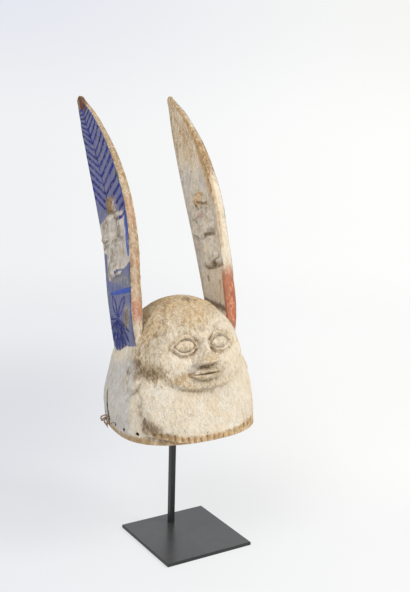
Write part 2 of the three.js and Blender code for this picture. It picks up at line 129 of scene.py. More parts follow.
# Rim holes and the split above one of them
HOLE_RADIUS = 2.6
HOLE_Z = RIM_Z + 15
HOLE_STEP = 29.5
HOLE_START = 61 * DEGREE
HOLE_END = math.pi - 0.04
HOLE_SPARSE = 125 * DEGREE
SPLIT_LENGTH = 42.0
SPLIT_HALF_WIDTH = 3.2
SPLIT_LEAN = 0.48
SPLIT_HOLE = 3

# Tall ears, base to tip, as in the solids
EAR_FRONT_Y = (8, 13, 23, 38, 62, 110, 170, 222)
EAR_FRONT_Z = (330, 380, 436, 508, 576, 643, 694, 722)
EAR_BACK_Y = (86, 94, 112, 135, 166, 198, 223, 238)
EAR_BACK_Z = (300, 356, 412, 478, 545, 610, 665, 711)
EAR_INNER_X = (84, 80, 77.5, 75.5, 75.5, 78, 81, 82.5)
EAR_OUTER_X = (92, 99, 98, 93.5, 92, 91.5, 91, 90.5)
STATIONS = tuple(range(8))
EAR_TIP = 13.0
EAR_BEVEL = 1.8
EAR_BACK_ROUND = 3.6
EAR_WEDGE = 0.27
EAR_BACK_THIN = 0.5
EAR_FACE_END = 0.985
EAR_WEDGE_FROM = 0.12
EAR_EDGE_COLUMNS = 9

# Herringbone on the outer faces
VEIN = 0.43
FRONT_BORDER = 0.86
BACK_BORDER = 0.07
BRANCHES = 13
BRANCH_STEP = 2.7 / BRANCHES
BRANCH_PITCH = 13.6
FRONT_EARLIER = 3.4
BACK_EARLIER = 1.6
BRANCH_START = 4.0
BRANCH_END = 6.7
FRONT_RISE = 0.26
BACK_RISE = 0.45
GOUGE_DEPTH = 1.7
GOUGE_WIDTH = 2.0

# Limits of the paint on the outer faces, across an ear and in height
PAINT_FROM = 0.015
RED_FROM = 0.9
LEAVES_TO_Z = 448
STRIP_FROM_Z = 452

# Figures in relief
FIGURE_Y = 84.0
FIGURE_Z = 512.0
FIGURE_LEAN = 21 * DEGREE


# Curves and noise

def clamp01(value):
    return np.clip(value, 0.0, 1.0)


def smoothstep(low, high, value):
    t = clamp01((value - low) / (high - low))
    return t * t * (3 - 2 * t)


def bell(distance, width):
    return np.exp(-((distance / width) ** 2))


def lerp(a, b, t):
    return a + (b - a) * t


def spot(across, up, middle, size):
    """A soft oval spot, 1 in its middle"""
    return bell(np.hypot((across - middle[0]) / size[0], (up - middle[1]) / size[1]), 1)


def strongest(*values):
    return np.max(np.stack(values), 0)


def spline(knots, values, at):
    """Cubic curve through the values at the knots, each slope taken from the neighbours"""
    knots = np.asarray(knots, float)
    values = np.asarray(values, float)
    at = np.asarray(at, float)
    last = len(knots) - 1
    i = np.clip(np.searchsorted(knots, at, side="left") - 1, 0, last - 1)
    low = np.maximum(np.arange(last + 1) - 1, 0)
    high = np.minimum(np.arange(last + 1) + 1, last)
    slope = (values[high] - values[low]) / (knots[high] - knots[low])
    span = knots[i + 1] - knots[i]
    s = (at - knots[i]) / span
    rise = values[i + 1] - values[i]
    a = slope[i] * span
    b = slope[i + 1] * span
    return values[i] + a * s + (3 * rise - 2 * a - b) * s**2 + (a + b - 2 * rise) * s**3


def lattice(cells, seed):
    """A random number from 0 to 1 for each whole-number cell"""
    x, y, z = (cells[..., k].astype(np.int64) for k in range(3))
    h = (x * 73856093) ^ (y * 19349663) ^ (z * 83492791) ^ (seed * 2654435761)
    h = (h ^ (h >> 13)) * 1274126177 & 0x7FFFFFFF
    h = (h ^ (h >> 16)) * 2246822519 & 0x7FFFFFFF
    return (h & 0xFFFFF) / float(0xFFFFF)


def noise(points, size, seed):
    """Smooth value noise from -1 to 1 with lumps of the given size"""
    p = points / size
    cell = np.floor(p)
    f = p - cell
    f = f * f * (3 - 2 * f)
    total = 0.0
    for dx in (0, 1):
        for dy in (0, 1):
            for dz in (0, 1):
                corner = lattice(cell + (dx, dy, dz), seed)
                wx = f[..., 0] if dx else 1 - f[..., 0]
                wy = f[..., 1] if dy else 1 - f[..., 1]
                wz = f[..., 2] if dz else 1 - f[..., 2]
                total = total + corner * wx * wy * wz
    return total * 2 - 1


def noise_along(values, size, seed):
    """The same noise over a single measure"""
    return noise(np.stack([values, 0 * values, 0 * values], -1), size, seed)


def scallops(points, size, seed):
    """0 in the middle of a tool cut, rising to 1 where two cuts meet"""
    p = points / size
    cell = np.floor(p)
    nearest = np.full(points.shape[:-1], 9.0)
    second = np.full(points.shape[:-1], 9.0)
    for dx in (-1, 0, 1):
        for dy in (-1, 0, 1):
            for dz in (-1, 0, 1):
                c = cell + (dx, dy, dz)
                jitter = np.stack([lattice(c, seed + k) for k in (1, 2, 3)], -1)
                d = np.linalg.norm(c + 0.15 + 0.7 * jitter - p, axis=-1)
                second = np.minimum(second, np.maximum(nearest, d))
                nearest = np.minimum(nearest, d)
    return clamp01(1 - (second - nearest) * 1.6)


def softer_max(a, b, blend):
    """The larger of two heights, rounded off where they cross"""
    return (a + b + np.sqrt((a - b) ** 2 + blend**2) - blend) / 2


def near_path(points, path):
    """Distance from each point to a chain of straight lines"""
    best = np.full(points.shape[:-1], 1e9)
    for start, end in zip(path[:-1], path[1:]):
        start, end = np.asarray(start, float), np.asarray(end, float)
        along = end - start
        t = clamp01(((points - start) @ along) / (along @ along))
        best = np.minimum(best, np.linalg.norm(points - start - t[..., None] * along, axis=-1))
    return best


# Helmet

def reach(values, z):
    return np.sqrt(np.maximum(spline(HEIGHTS, np.asarray(values, float) ** 2, z), 0))


def helmet_point(angle, z):
    c = np.cos(angle)
    s = np.sin(angle)
    power = np.where(c > 0, FRONT_POWER, BACK_POWER)
    r = (np.abs(c) ** power + np.abs(s) ** power) ** (-1 / power)
    along = np.where(c > 0, reach(FRONTS, z), reach(BACKS, z))
    y = spline(HEIGHTS, MIDDLES, z) - along * c * r
    return np.stack([reach(SIDES, z) * s * r, y, z + 0 * angle], -1)


def helmet_normal(angle, z):
    high = np.minimum(z + 0.5, CROWN_Z - 0.05)
    around = helmet_point(angle + 0.01, z) - helmet_point(angle - 0.01, z)
    up = helmet_point(angle, high) - helmet_point(angle, high - 1)
    normal = np.cross(around, up)
    return normal / np.linalg.norm(normal, axis=-1, keepdims=True)


def hem_height(angle):
    spread = smoothstep(HEM_LEVEL, COLLAR_CORNER, np.abs(angle))
    return RIM_Z + HEM_LOW + (HEM_HIGH - HEM_LOW) * spread


def collar_edge(z):
    return COLLAR_CORNER + (COLLAR_TOP - COLLAR_CORNER) * smoothstep(COLLAR_TURN_LOW, COLLAR_TURN_HIGH, z)


def collar_relief(angle, z):
    hem = hem_height(angle)
    edge = collar_edge(z)
    side = 1 - smoothstep(edge - 8 * DEGREE, edge + 4 * DEGREE, np.abs(angle))
    proud = HEM_PROUD + (COLLAR_PROUD - HEM_PROUD) * clamp01((z - hem) / 60)
    fade = 1 - smoothstep(COLLAR_FADE_LOW, COLLAR_FADE_HIGH, z)
    return np.where(z < hem, 0, side * proud * fade)


def face_mass(across, z):
    half = np.where(z < FACE_MIDDLE_Z, FACE_MIDDLE_Z - CHIN_Z, FACE_ABOVE)
    q = np.hypot(across / FACE_HALF_WIDTH, (z - FACE_MIDDLE_Z) / half)
    low = np.where(z < FACE_MIDDLE_Z, 0.9, 0.45)
    soft = lerp(0.5, low, smoothstep(0.9, 0.3, np.abs(across) / FACE_HALF_WIDTH))
    return FACE_PROUD * (1 - smoothstep(np.maximum(soft, low - 0.25), 1, q))


def eye_relief(across, z):
    """Almond eye with a full ball between two lids, set in a shallow socket"""
    a = (np.abs(across) - EYE_APART) / EYE_HALF_WIDTH
    arc = np.maximum(1 - a * a, 0)
    upper = EYE_HALF_HEIGHT * arc**0.8
    lower = 0.8 * EYE_HALF_HEIGHT * arc**0.9
    up = z - EYE_Z
    gap = np.where(up > 0, up - upper, -up - lower)
    past = np.maximum(np.abs(a) - 1, 0) * EYE_HALF_WIDTH
    d = np.where(past > 0, np.hypot(past, up), gap)
    tall = np.where(up > 0, EYE_HALF_HEIGHT, 0.8 * EYE_HALF_HEIGHT)
    ball = 7.2 * np.maximum(1 - a * a - (up / tall) ** 2, 0) ** 0.5
    lid = 4.8 * bell(d - 2.6, 2.4)
    line = -2.2 * bell(d + 0.3, 1.5)
    crease = -2.4 * bell(d - 8.4, 3.0) * smoothstep(-0.5, 3, up) * bell(a, 1.1)
    bag = -1.7 * bell(d - 8.0, 3.0) * smoothstep(0.5, -3, up) * bell(a, 1.1)
    socket = -5.5 * bell(np.hypot(a, up / (1.5 * EYE_HALF_HEIGHT)), 1.35)
    return socket + ball + lid + line + crease + bag


def nose_relief(across, z):
    """Straight nose that widens to two rounded wings over the nostrils"""
    a = np.abs(across)
    s = clamp01((EYE_Z + 8 - z) / (EYE_Z + 4 - NOSE_Z))
    width = 7.5 + (NOSE_HALF_WIDTH - 9) * s**1.6
    height = 7 + (NOSE_PROUD - 7) * s**1.2
    under = smoothstep(NOSE_Z - 4, NOSE_Z + 5, z)
    above = 1 - smoothstep(EYE_Z + 2, EYE_Z + 20, z)
    ridge = np.exp(-((a / width) ** 2.8))
    tip = 3.4 * bell(np.hypot(a / 9, (z - NOSE_Z - 7) / 7), 1)
    wings = 10.5 * bell(a - 14, 5.2) * bell(z - NOSE_Z - 6, 6.2)
    groove = -2.8 * bell(a - 22, 2.6) * bell(z - NOSE_Z - 6, 9)
    groove = groove - 3.0 * bell(np.hypot((a - 15) / 5, (z - EYE_Z + 4) / 12), 1)
    nostril = -4.6 * bell(np.hypot(a - 8.5, (z - NOSE_Z + 0.5) * 1.1), 3.2)
    return (height * ridge + tip + wings) * under * above + groove + nostril


def mouth_relief(across, z):
    """Two full lips that meet in a level line, with rounded corners"""
    a = np.abs(across) / MOUTH_HALF_WIDTH
    arc = np.maximum(1 - a * a, 0)
    bow = 0.9 * bell(np.abs(across) - 6.5, 4.5) - 1.0 * bell(across, 3)
    top = 8.6 * arc**0.75 + bow * arc
    bottom = 9.6 * arc**0.65
    parting = MOUTH_Z + 0.8 * bell(across, 8) - 0.4
    up = z - parting
    t = np.where(up > 0, up / np.maximum(top, 0.5), -up / np.maximum(bottom, 0.5))
    roll = np.maximum(1 - (2 * clamp01(t) - 0.9) ** 2, 0) ** 0.6 * (t < 1)
    rim = smoothstep(1.0, 0.82, t)
    lips = LIP_PROUD * np.where(up > 0, 0.88, 1.0) * roll * rim * arc**0.35
    mound = 5.5 * bell(across, 31) * bell(z - MOUTH_Z, 17)
    seam = -3.2 * bell(up, 1.6) * arc**0.3
    channel = -1.5 * bell(across, 3.2) * bell(z - MOUTH_Z - 15, 5)
    corner = -3.0 * bell(np.hypot(np.abs(across) - MOUTH_HALF_WIDTH - 1.5, z - MOUTH_Z), 4.5)
    under = -2.6 * bell(across, 16) * bell(z - MOUTH_Z + 13.5, 3.4)
    return lips + mound + seam + channel + corner + under


def notch_wave(angle, z):
    """Depth of the short upright cuts along the collar's hem"""
    across = FACE_RADIUS * angle
    wobble = noise_along(across, 21, 5)
    phase = (across + 1.4 * wobble) / NOTCH_PITCH
    cut = bell((phase - np.round(phase)) * NOTCH_PITCH, 1.9)
    above = z - hem_height(angle)
    length = NOTCH_LENGTH + 2.4 * noise_along(7.3 * np.round(phase), 3, 8)
    run = 1 - smoothstep(length - 2.5, length, above)
    inside = 1 - smoothstep(COLLAR_CORNER * 0.94, COLLAR_CORNER * 0.99, np.abs(angle))
    return NOTCH_DEPTH * cut * run * inside * (above > 0)


def lobe_place(point):
    """0 in the middle of a small ear, 1 at its oval outline"""
    across = (point[..., 1] - LOBE_Y) / LOBE_HALF_WIDTH
    return np.hypot(across, (point[..., 2] - LOBE_Z) / LOBE_HALF_HEIGHT)


def lobe_relief(point):
    """A small ear: an oval rim with a shallow bowl, on both sides of the head"""
    q = lobe_place(point)
    rim = 3.6 * bell(q - 0.8, 0.36)
    bowl = 2.2 * (1 - smoothstep(0.2, 0.7, q))
    groove = -2.0 * bell(q - 1.52, 0.32)
    side = np.where(point[..., 0] < -LOBE_X, 1.0, 0.5 * (point[..., 0] > LOBE_X))
    return (rim + bowl + groove) * side


TEMPLE_RIDGE = ((-45, -8, 393), (-52, -16, 380), (-61, -21, 365))
HAIRLINE = ((-60, -21, 366), (-51, -12, 384), (-45, 2, 398), (-38, 14, 406), (-24, 5, 414), (0, 3, 417))


def hair_relief(point):
    """The raised line over the front of the dome that edges the hair"""
    folded = point.copy()
    folded[..., 0] = -np.abs(folded[..., 0])
    d = near_path(folded, HAIRLINE)
    temple = near_path(folded, TEMPLE_RIDGE)
    return 2.2 * bell(d, 2.4) - 1.2 * bell(d - 5.0, 2.4) + 1.8 * bell(temple, 2.4)


def helmet_relief(angle, z):
    across = FACE_RADIUS * angle
    a = np.abs(across)
    height = softer_max(collar_relief(angle, z), face_mass(across, z), 2.2)
    front = 1 - smoothstep(78, 100, a)
    brow = 3.5 * bell(z - BROW_Z - 2 + (a - 30) ** 2 / 160, 5.5) * (1 - smoothstep(46, 66, a))
    chin = 4 * bell(across, 22) * bell(z - CHIN_Z - 10, 9)
    cheek = 2.2 * bell(a - 40, 16) * bell(z - NOSE_Z - 1, 13)
    carved = eye_relief(across, z) + nose_relief(across, z) + mouth_relief(across, z)
    return height + front * (carved + brow + chin + cheek) - notch_wave(angle, z)


def hand_carved(point, seed):
    """Small unevenness left by hand tools: broad waves, facets and a little roughness"""
    broad = 0.8 * noise(point, 46, seed) + 0.45 * noise(point, 19, seed + 1)
    facets = -0.14 * (1 - scallops(point * (1, 1, 0.62), 9.5, seed + 2)) ** 2
    drawn = point * (1, 1, 0.5)
    rough = 0.24 * noise(drawn, 6, seed + 3) + 0.2 * noise(drawn, 3.2, seed + 4)
    return broad - 0.5 + facets + rough


def helmet_columns():
    """Angles of the columns round the helmet, closer together over the face"""
    near = 62 * DEGREE
    return np.concatenate([
        np.linspace(-math.pi, -near, 79, endpoint=False),
        np.linspace(-near, near, 176, endpoint=False),
        np.linspace(near, math.pi, 80),
    ])


# Heights between which the rows of the helmet are closer together, over the face
ROWS_LOW = 226
ROWS_FACE = 272
ROWS_HIGH = 372


def helmet_rows(angle):
    """Heights of the rows from the rim to the crown, for every column"""
    hem = hem_height(angle)
    rows = [lerp(RIM_Z + 0.9, hem - HEM_STEP, t) for t in (0, 0.25, 0.5, 0.75)]
    rows += [hem - HEM_STEP * (1 - 2 * t) for t in (0, 0.35, 0.65, 1)]
    rows += [lerp(hem + HEM_STEP, ROWS_LOW, t) for t in np.linspace(0, 1, 11)[1:]]
    levels = np.concatenate([
        np.linspace(ROWS_LOW, ROWS_FACE, 23)[1:],
        np.linspace(ROWS_FACE, ROWS_HIGH, 81)[1:],
        CROWN_Z - (CROWN_Z - ROWS_HIGH) * np.cos(np.linspace(0, math.pi / 2, 23))[1:] ** 1.6,
    ])
    rows += [np.full_like(angle, min(z, CROWN_Z - 0.1)) for z in levels]
    return rows


def outer_helmet():
    """Points of the outside of the helmet, with the angle and the uncarved place of each"""
    angle = helmet_columns()
    bottom = helmet_point(angle, np.full_like(angle, RIM_Z))
    middle = np.array([0, MIDDLES[0], RIM_Z])
    inset = bottom - helmet_normal(angle, np.full_like(angle, RIM_Z)) * 1.0
    inset[:, 2] = RIM_Z
    rings = [np.broadcast_to(middle, bottom.shape), lerp(bottom, middle, 0.5), inset]
    bare_rings = list(rings)
    for z in helmet_rows(angle):
        bare = helmet_point(angle, z)
        height = helmet_relief(angle, z) + lobe_relief(bare) + hair_relief(bare)
        height = height + hand_carved(bare, HELMET_SEED)
        rings.append(bare + helmet_normal(angle, z) * height[:, None])
        bare_rings.append(bare)
    crown = np.array([0, MIDDLES[-1], CROWN_Z - 0.4])
    rings[-1] = np.broadcast_to(crown, bottom.shape)
    return np.stack(rings), np.broadcast_to(angle, (len(rings), len(angle))), np.stack(bare_rings)


def inner_helmet():
    """The hollow for the wearer's head, run down past the rim so that it cuts clean"""
    angle = helmet_columns()[::3]
    angle = np.append(angle[:-1], math.pi)
    levels = np.concatenate([np.linspace(RIM_Z, 360, 26), np.linspace(360, CROWN_Z - 6, 14)[1:]])
    rings = []
    for z in levels:
        zz = np.full_like(angle, z)
        bare = helmet_point(angle, zz)
        gouged = 1.3 * (1 - scallops(bare * (1, 1, 0.5), 15, HOLLOW_SEED)) - 0.9
        rings.append(bare - helmet_normal(angle, zz) * (WALL + gouged)[:, None])
    mouth = rings[0].copy()
    mouth[:, 2] = RIM_Z - WALL
    base = np.broadcast_to((0, MIDDLES[0], RIM_Z - WALL), mouth.shape).copy()
    crown = np.broadcast_to((0, MIDDLES[-1], CROWN_Z - WALL), mouth.shape).copy()
    return np.stack([base, mouth, *rings, crown])


# Paint fields, kept at every point of the skins

FIELDS = (
    "line_mm", "bright_mm", "slate", "worn", "leafy", "grey", "ochre", "brown", "rust", "red", "chalk", "tan",
    "buff", "fresh", "grit", "hollow", "bore", "crevice",
)


def blank_fields(like):
    fields = {name: np.zeros(like.shape) for name in FIELDS}
    fields["line_mm"] = fields["line_mm"] + FAR
    fields["bright_mm"] = fields["bright_mm"] + FAR
    fields["grit"] = fields["grit"] + 0.5
    return fields


# Tall ears

def ear_middle(station):
    """Thickness of an ear at a station, with its outer and inner face"""
    outer = spline(STATIONS, EAR_OUTER_X, station)
    inner = spline(STATIONS, EAR_INNER_X, station)
    return outer, inner, outer - inner


def ear_place(station, across):
    """Y and Z of a place on an ear, counted in stations along it and from back to front"""
    y = lerp(spline(STATIONS, EAR_BACK_Y, station), spline(STATIONS, EAR_FRONT_Y, station), across)
    z = lerp(spline(STATIONS, EAR_BACK_Z, station), spline(STATIONS, EAR_FRONT_Z, station), across)
    return y, z


def climb(across):
    front = FRONT_RISE * (across - VEIN) / (FRONT_BORDER - VEIN)
    back = BACK_RISE * (VEIN - across) / (VEIN - BACK_BORDER)
    return np.where(across > VEIN, front, back)


def figure_frame(y, z):
    """Place in the figure's own upright frame: p towards the back edge, q upwards"""
    c, s = math.cos(FIGURE_LEAN), math.sin(FIGURE_LEAN)
    return (y - FIGURE_Y) * c - (z - FIGURE_Z) * s, (y - FIGURE_Y) * s + (z - FIGURE_Z) * c


def limb(p, q, start, end, radius, end_radius, height):
    """Rounded bar in relief between two places in the figure's frame"""
    along = np.subtract(end, start).astype(float)
    t = clamp01(((p - start[0]) * along[0] + (q - start[1]) * along[1]) / (along @ along))
    d = np.hypot(p - start[0] - t * along[0], q - start[1] - t * along[1])
    r = lerp(radius, end_radius, t)
    return height * np.maximum(1 - (d / r) ** 2, 0) ** 0.7


# Limbs of the figure: both ends, the radius at each, and the height
LIMBS = (
    ((0, 45), (1, 49), 15, 14, 7.4), ((0, 53), (2, 62), 13, 4.5, 7.6), ((0, 30), (0, 38), 10, 8, 4.6),
    ((-17, 28), (17, 28), 10, 10, 5.2), ((0, 24), (0, -6), 19, 16, 5.8),
    ((-25, 26), (-29, 3), 7.5, 7, 6.4), ((25, 26), (29, 3), 7.5, 7, 6.4),
    ((-29, 1), (-7, -10), 6.8, 5.6, 7.6), ((29, 1), (7, -10), 6.8, 5.6, 7.6),
    ((-11, -16), (-12, -48), 13, 9, 5.6), ((11, -16), (12, -48), 13, 9, 5.6),
    ((-11, -56), (-25, -58), 7, 5, 6.2), ((12, -56), (0, -59), 7, 5, 6.2),
)


def figure_relief(p, q):
    """Standing figure with a pointed cap, its hands at its belly, and a cloth round its legs"""
    total = sum(limb(p, q, *row) ** 4 for row in LIMBS) ** 0.25
    cap = -1.0 * bell(q - 52 + 0.02 * p * p, 1.5) * (np.abs(p) < 14)
    eyes = -0.9 * (bell(np.hypot(p - 5, q - 46.5), 2.2) + bell(np.hypot(p + 5, q - 46.5), 2.2))
    chin = -1.2 * bell(q - 36.5, 2.0) * (np.abs(p) < 11)
    ribs = -0.5 * bell(np.abs((q + 60) % 7 - 3.5), 1.2) * (np.abs(p) < 14) * (q > -2) * (q < 26)
    cloth = -0.5 * bell(np.abs((p + 60) % 8 - 4), 1.2) * (np.abs(p) < 19) * (q < -20) * (q > -48)
    parting = -1.2 * bell(p, 1.8) * (q < -24) * (q > -56)
    carved = (cap + eyes + chin + ribs + cloth + parting) * smoothstep(1.0, 3.5, total)
    return total + carved


def figure_ground(p, q):
    """1 on the sunk ground round the figure, 0 away from it"""
    d = np.hypot(p / 42, (q + 2) / np.where(q > 0, 69, 66))
    return 1 - smoothstep(0.86, 1.02, d)


def outer_axis(q):
    """The figures on the outer faces lean a little, their feet towards the back edge"""
    return 2 + 0.17 * (55 - q)


def inner_axis(q):
    return 8 - 0.04 * (55 - q)


# Leaves under the bright band, in the ear's own plane: y, z and half width of each point
LEAF_ROOT = (66.0, 380.0)
LEAF_TIPS = (
    (66, 317, 7.6), (79, 321, 7.0), (92, 331, 6.4), (53, 324, 7.0), (41, 334, 6.6), (31, 347, 5.6),
    (99, 350, 4.8), (25, 364, 3.6), (99, 372, 3.0),
)
LEAF_LOOPS = ((87, 413, 6.4), (43, 421, 6.0))

# Strokes on the ears' figures, in the figures' frame: a path, its half width and its strength. The dark ones
# are painted shadow and the light ones painted highlight, and both also sink or raise the relief a little;
# the blue ones leave the slate showing.
OUTER_DARK = (
    (((27, 46), (12, 40), (-10, 36)), 3.2, 1.0), (((30, 43), (21, 39)), 3.0, 0.7),
    (((18, 37), (15, 31), (22, 26), (17, 21)), 2.6, 0.8),
    (((-8, 31), (-16, 24), (-16, 17), (-11, 15)), 3.0, 0.9),
    (((20, 11), (-10, 8)), 1.5, 0.5), (((21, -1), (-6, -4)), 1.4, 0.45), (((22, -10), (-6, -16)), 1.4, 0.5),
    (((23, -4), (38, -6), (54, -12)), 2.4, 0.9), (((-20, 11), (-15, -13), (-15, -37)), 2.8, 0.6),
    (((15, -20), (23, -37), (36, -53)), 4.0, 0.5),
)
OUTER_LIGHT = (
    (((9, 31), (-1, 28)), 5.0, 0.8), (((8, 8), (9, -8)), 8.0, 0.7), (((40, 24), (37, 16)), 6.0, 0.5),
    (((49, -17), (43, -21)), 5.0, 0.8), (((40, -28), (41, -45), (38, -64)), 2.0, 0.9),
    (((-27, 26), (-31, 8), (-31, -8), (-32, -26), (-32, -33)), 2.6, 1.0),
    (((24, -56), (5, -51), (-12, -55), (-10, -61), (12, -63), (28, -67)), 2.2, 0.9),
)
OUTER_BLUE = ((((12, -58), (-6, -56)), 3.4, 1.0), (((50, -24), (44, -35), (47, -48)), 5.0, 1.0))
INNER_DARK = (
    (((2, 48), (-5, 44), (-10, 44)), 2.8, 1.0), (((27, 46), (21, 43), (8, 43)), 3.0, 0.9),
    (((-9, 37), (-16, 32), (-20, 25)), 2.6, 0.7), (((27, 22), (23, 13), (21, 3)), 2.6, 0.8),
    (((-1, -8), (-12, -11), (-20, -12)), 3.4, 1.0), (((-8, -12), (8, -15)), 2.2, 0.7),
    (((28, -7), (27, -9)), 3.2, 1.0), (((-23, -51), (-19, -58), (-4, -64)), 4.0, 1.0),
    (((31, -58), (18, -65), (-6, -68), (-36, -66)), 2.4, 0.8), (((-34, -60), (-27, -67)), 3.2, 0.6),
    (((27, -77), (26, -84)), 3.4, 0.8), (((-24, -2), (-24, -10)), 1.8, 0.5), (((30, 55), (22, 61)), 2.6, 0.6),
    (((44, 24), (42, 2)), 2.6, 0.4), (((43, -18), (40, -40)), 2.6, 0.4),
)
INNER_LIGHT = (
    (((10, 57), (-1, 52), (-6, 48)), 2.8, 1.0), (((18, 13), (-6, 9), (-26, -1)), 2.6, 0.7),
    (((3, -20), (-2, -30), (-5, -41)), 11.0, 0.7), (((-27, -33), (-27, -39), (-24, -43)), 3.0, 1.0),
    (((8, -62), (2, -62)), 2.2, 1.0), (((-32, 60), (-38, 20), (-40, -20)), 7.0, 0.5),
    (((8, 118), (14, 96), (20, 76)), 13.0, 0.8), (((34, 62), (37, 30), (36, -4)), 6.0, 0.7),
    (((17, 36), (12, 30)), 5.0, 0.8), (((14, -4), (8, -20), (10, -44)), 4.0, 0.8),
    (((-28, -8), (-30, -24)), 5.0, 0.7),
)

# Band, crack and strip, in the ear's own plane
BAND_ENDS = ((91.0, 415.4), (28.0, 435.5))
CRACK_PATH = ((42, 430), (40, 414), (41, 394), (41, 380))
STRIP_PATH = ((56, 551), (53, 539), (47, 530), (45, 515), (42, 503), (40, 489))


def lens(y, z, root, tip, width):
    """Distance to the outline of a pointed leaf, negative inside it, and to its middle"""
    along = np.subtract(tip, root).astype(float)
    size = np.hypot(*along)
    along /= size
    t = ((y - root[0]) * along[0] + (z - root[1]) * along[1]) / size
    off = (y - root[0]) * along[1] - (z - root[1]) * along[0]
    half = width * np.sin(math.pi * clamp01(t) ** 1.15) ** 0.8
    past = np.maximum(np.maximum(-t, t - 1), 0) * size
    edge = np.abs(off) - half
    return np.where(past > 0, np.hypot(off, past), edge), off


def flat_path(y, z, path):
    return near_path(np.stack([y, z], -1), path)


def strokes(p, q, table):
    """Strongest mark of a table at each place"""
    total = np.zeros(p.shape)
    for path, width, strength in table:
        total = np.maximum(total, strength * bell(flat_path(p, q, path), width))
    return total


def leaf_fields(y, z):
    """Leaves and their veins: distance to deep blue paint, and the depth of the gouges"""
    paint = np.full(y.shape, FAR)
    cut = np.zeros(y.shape)
    for ty, tz, width in LEAF_TIPS:
        d, off = lens(y, z, LEAF_ROOT, (ty, tz), width)
        vein = 0.8 - np.abs(off + 0.3 * width)
        paint = np.minimum(paint, np.maximum(d + 0.1, vein))
        cut = np.maximum(cut, 1.4 * bell(d - 0.6, 1.3))
        cut = np.maximum(cut, 0.7 * bell(off + 0.35 * width, 1.1) * (d < -1))
    for ty, tz, width in LEAF_LOOPS:
        d, off = lens(y, z, LEAF_ROOT, (ty, tz), width)
        paint = np.minimum(paint, np.abs(d + 0.8) - 1.7)
        cut = np.maximum(cut, 1.3 * bell(d + 0.8, 1.5))
    return paint, cut


# Sides of an ear's section, in the order of its columns
OUTWARD, LEADING, INWARD, TRAILING = range(4)


def ear_columns():
    """Columns round an ear's section: place across, side of the section, and place along that side"""
    outer = np.concatenate([
        np.linspace(0, BACK_BORDER, 5)[:-1],
        np.linspace(BACK_BORDER, VEIN, 20)[:-1],
        np.linspace(VEIN, FRONT_BORDER, 19)[:-1],
        np.linspace(FRONT_BORDER, EAR_FACE_END, 7),
    ])
    inner = np.concatenate([
        np.linspace(EAR_FACE_END, EAR_WEDGE_FROM, 27),
        np.linspace(EAR_WEDGE_FROM, 0, 5)[1:],
    ])
    front = np.linspace(0, 1, EAR_EDGE_COLUMNS)
    back = np.linspace(0, 1, 4)[1:-1]
    across = np.concatenate([outer, np.ones(len(front)), inner, np.zeros(len(back))])
    part = np.concatenate([0 * outer, front, 0 * inner, back])
    columns = [len(side) for side in (outer, front, inner, back)]
    kind = np.repeat((OUTWARD, LEADING, INWARD, TRAILING), columns)
    return across, kind, part


def ear_rows():
    """Stations of the rows, eight to each branch of the herringbone"""
    fine = BRANCH_START + BRANCH_STEP / 8 * np.arange(-24, 8 * BRANCHES + 1)
    low = np.linspace(0, fine[0], 118)[:-1]
    high = np.linspace(fine[-1], STATIONS[-1], 13)[1:]
    return np.concatenate([low, fine, high])


def ear_grid(side, seed):
    """Places over one tall ear, and what its carving and its paint share. Side is 1 on the mask's left."""
    across, kind, part = ear_columns()
    e = SimpleNamespace(side=side, seed=seed, on_left=side > 0, kind=kind, part=part)
    e.outward, e.leading, e.inward = kind == OUTWARD, kind == LEADING, kind == INWARD
    e.w = ear_rows()[:, None] + 0 * across
    e.v = across[None, :] + 0 * e.w
    bend = smoothstep(2.7, 3.35, e.w) * clamp01((6.75 - e.w) / 1.2)
    e.station = e.w + bend * climb(e.v)
    e.y, e.z = ear_place(e.station, e.v)
    e.bare = np.stack([0 * e.y, e.y, e.z], -1)
    e.ahead = np.stack(ear_place(e.station, 1.0), -1) - np.stack(ear_place(e.station, 0.0), -1)
    e.width = np.linalg.norm(e.ahead, axis=-1)
    e.band = flat_path(e.y, e.z, BAND_ENDS) - lerp(2.6, 4.6, clamp01((96 - e.y) / 60))
    e.crack = flat_path(e.y, e.z, CRACK_PATH)
    e.leaf_paint, e.leaf_cut = leaf_fields(e.y, e.z)
    place_figure(e)
    place_branches(e)
    return e


def place_figure(e):
    """The relief figure on both faces, the sunk ground round it, and the strokes of painted shadow and
    painted highlight on it
    """
    e.p, e.q = figure_frame(e.y, e.z)
    e.off = e.p - np.where(e.inward, inner_axis(e.q), outer_axis(e.q))
    e.figure = figure_relief(e.off, e.q)
    e.ground = figure_ground(e.off, e.q)
    e.near_head = figure_ground(e.off * 1.35, np.maximum(e.q, 0) * 0.97)
    # strokes of painted shadow and painted highlight on the outer and inner faces
    e.dark_out, e.light_out = strokes(e.p, e.q, OUTER_DARK), strokes(e.p, e.q, OUTER_LIGHT)
    e.dark_in, e.light_in = strokes(e.p, e.q, INNER_DARK), strokes(e.p, e.q, INNER_LIGHT)


def place_branches(e):
    """Distances to the herringbone's branches and to its middle vein, and the stretch they fill"""
    phase = (e.w - BRANCH_START) / BRANCH_STEP + 0.09 * noise(e.bare, 20, e.seed + 20)
    slant = np.where(e.v > VEIN, 0.98, 0.82)
    e.branch = np.abs(phase - np.round(phase)) * BRANCH_PITCH * slant
    e.vein = np.where(e.w > BRANCH_END + 0.05, FAR, np.abs(e.v - VEIN) * e.width)
    start = BRANCH_START - np.where(e.v > VEIN, FRONT_EARLIER, BACK_EARLIER) * BRANCH_STEP
    e.fan = smoothstep(start, start + 0.1, e.w) * (1 - smoothstep(BRANCH_END, BRANCH_END + 0.12, e.w))


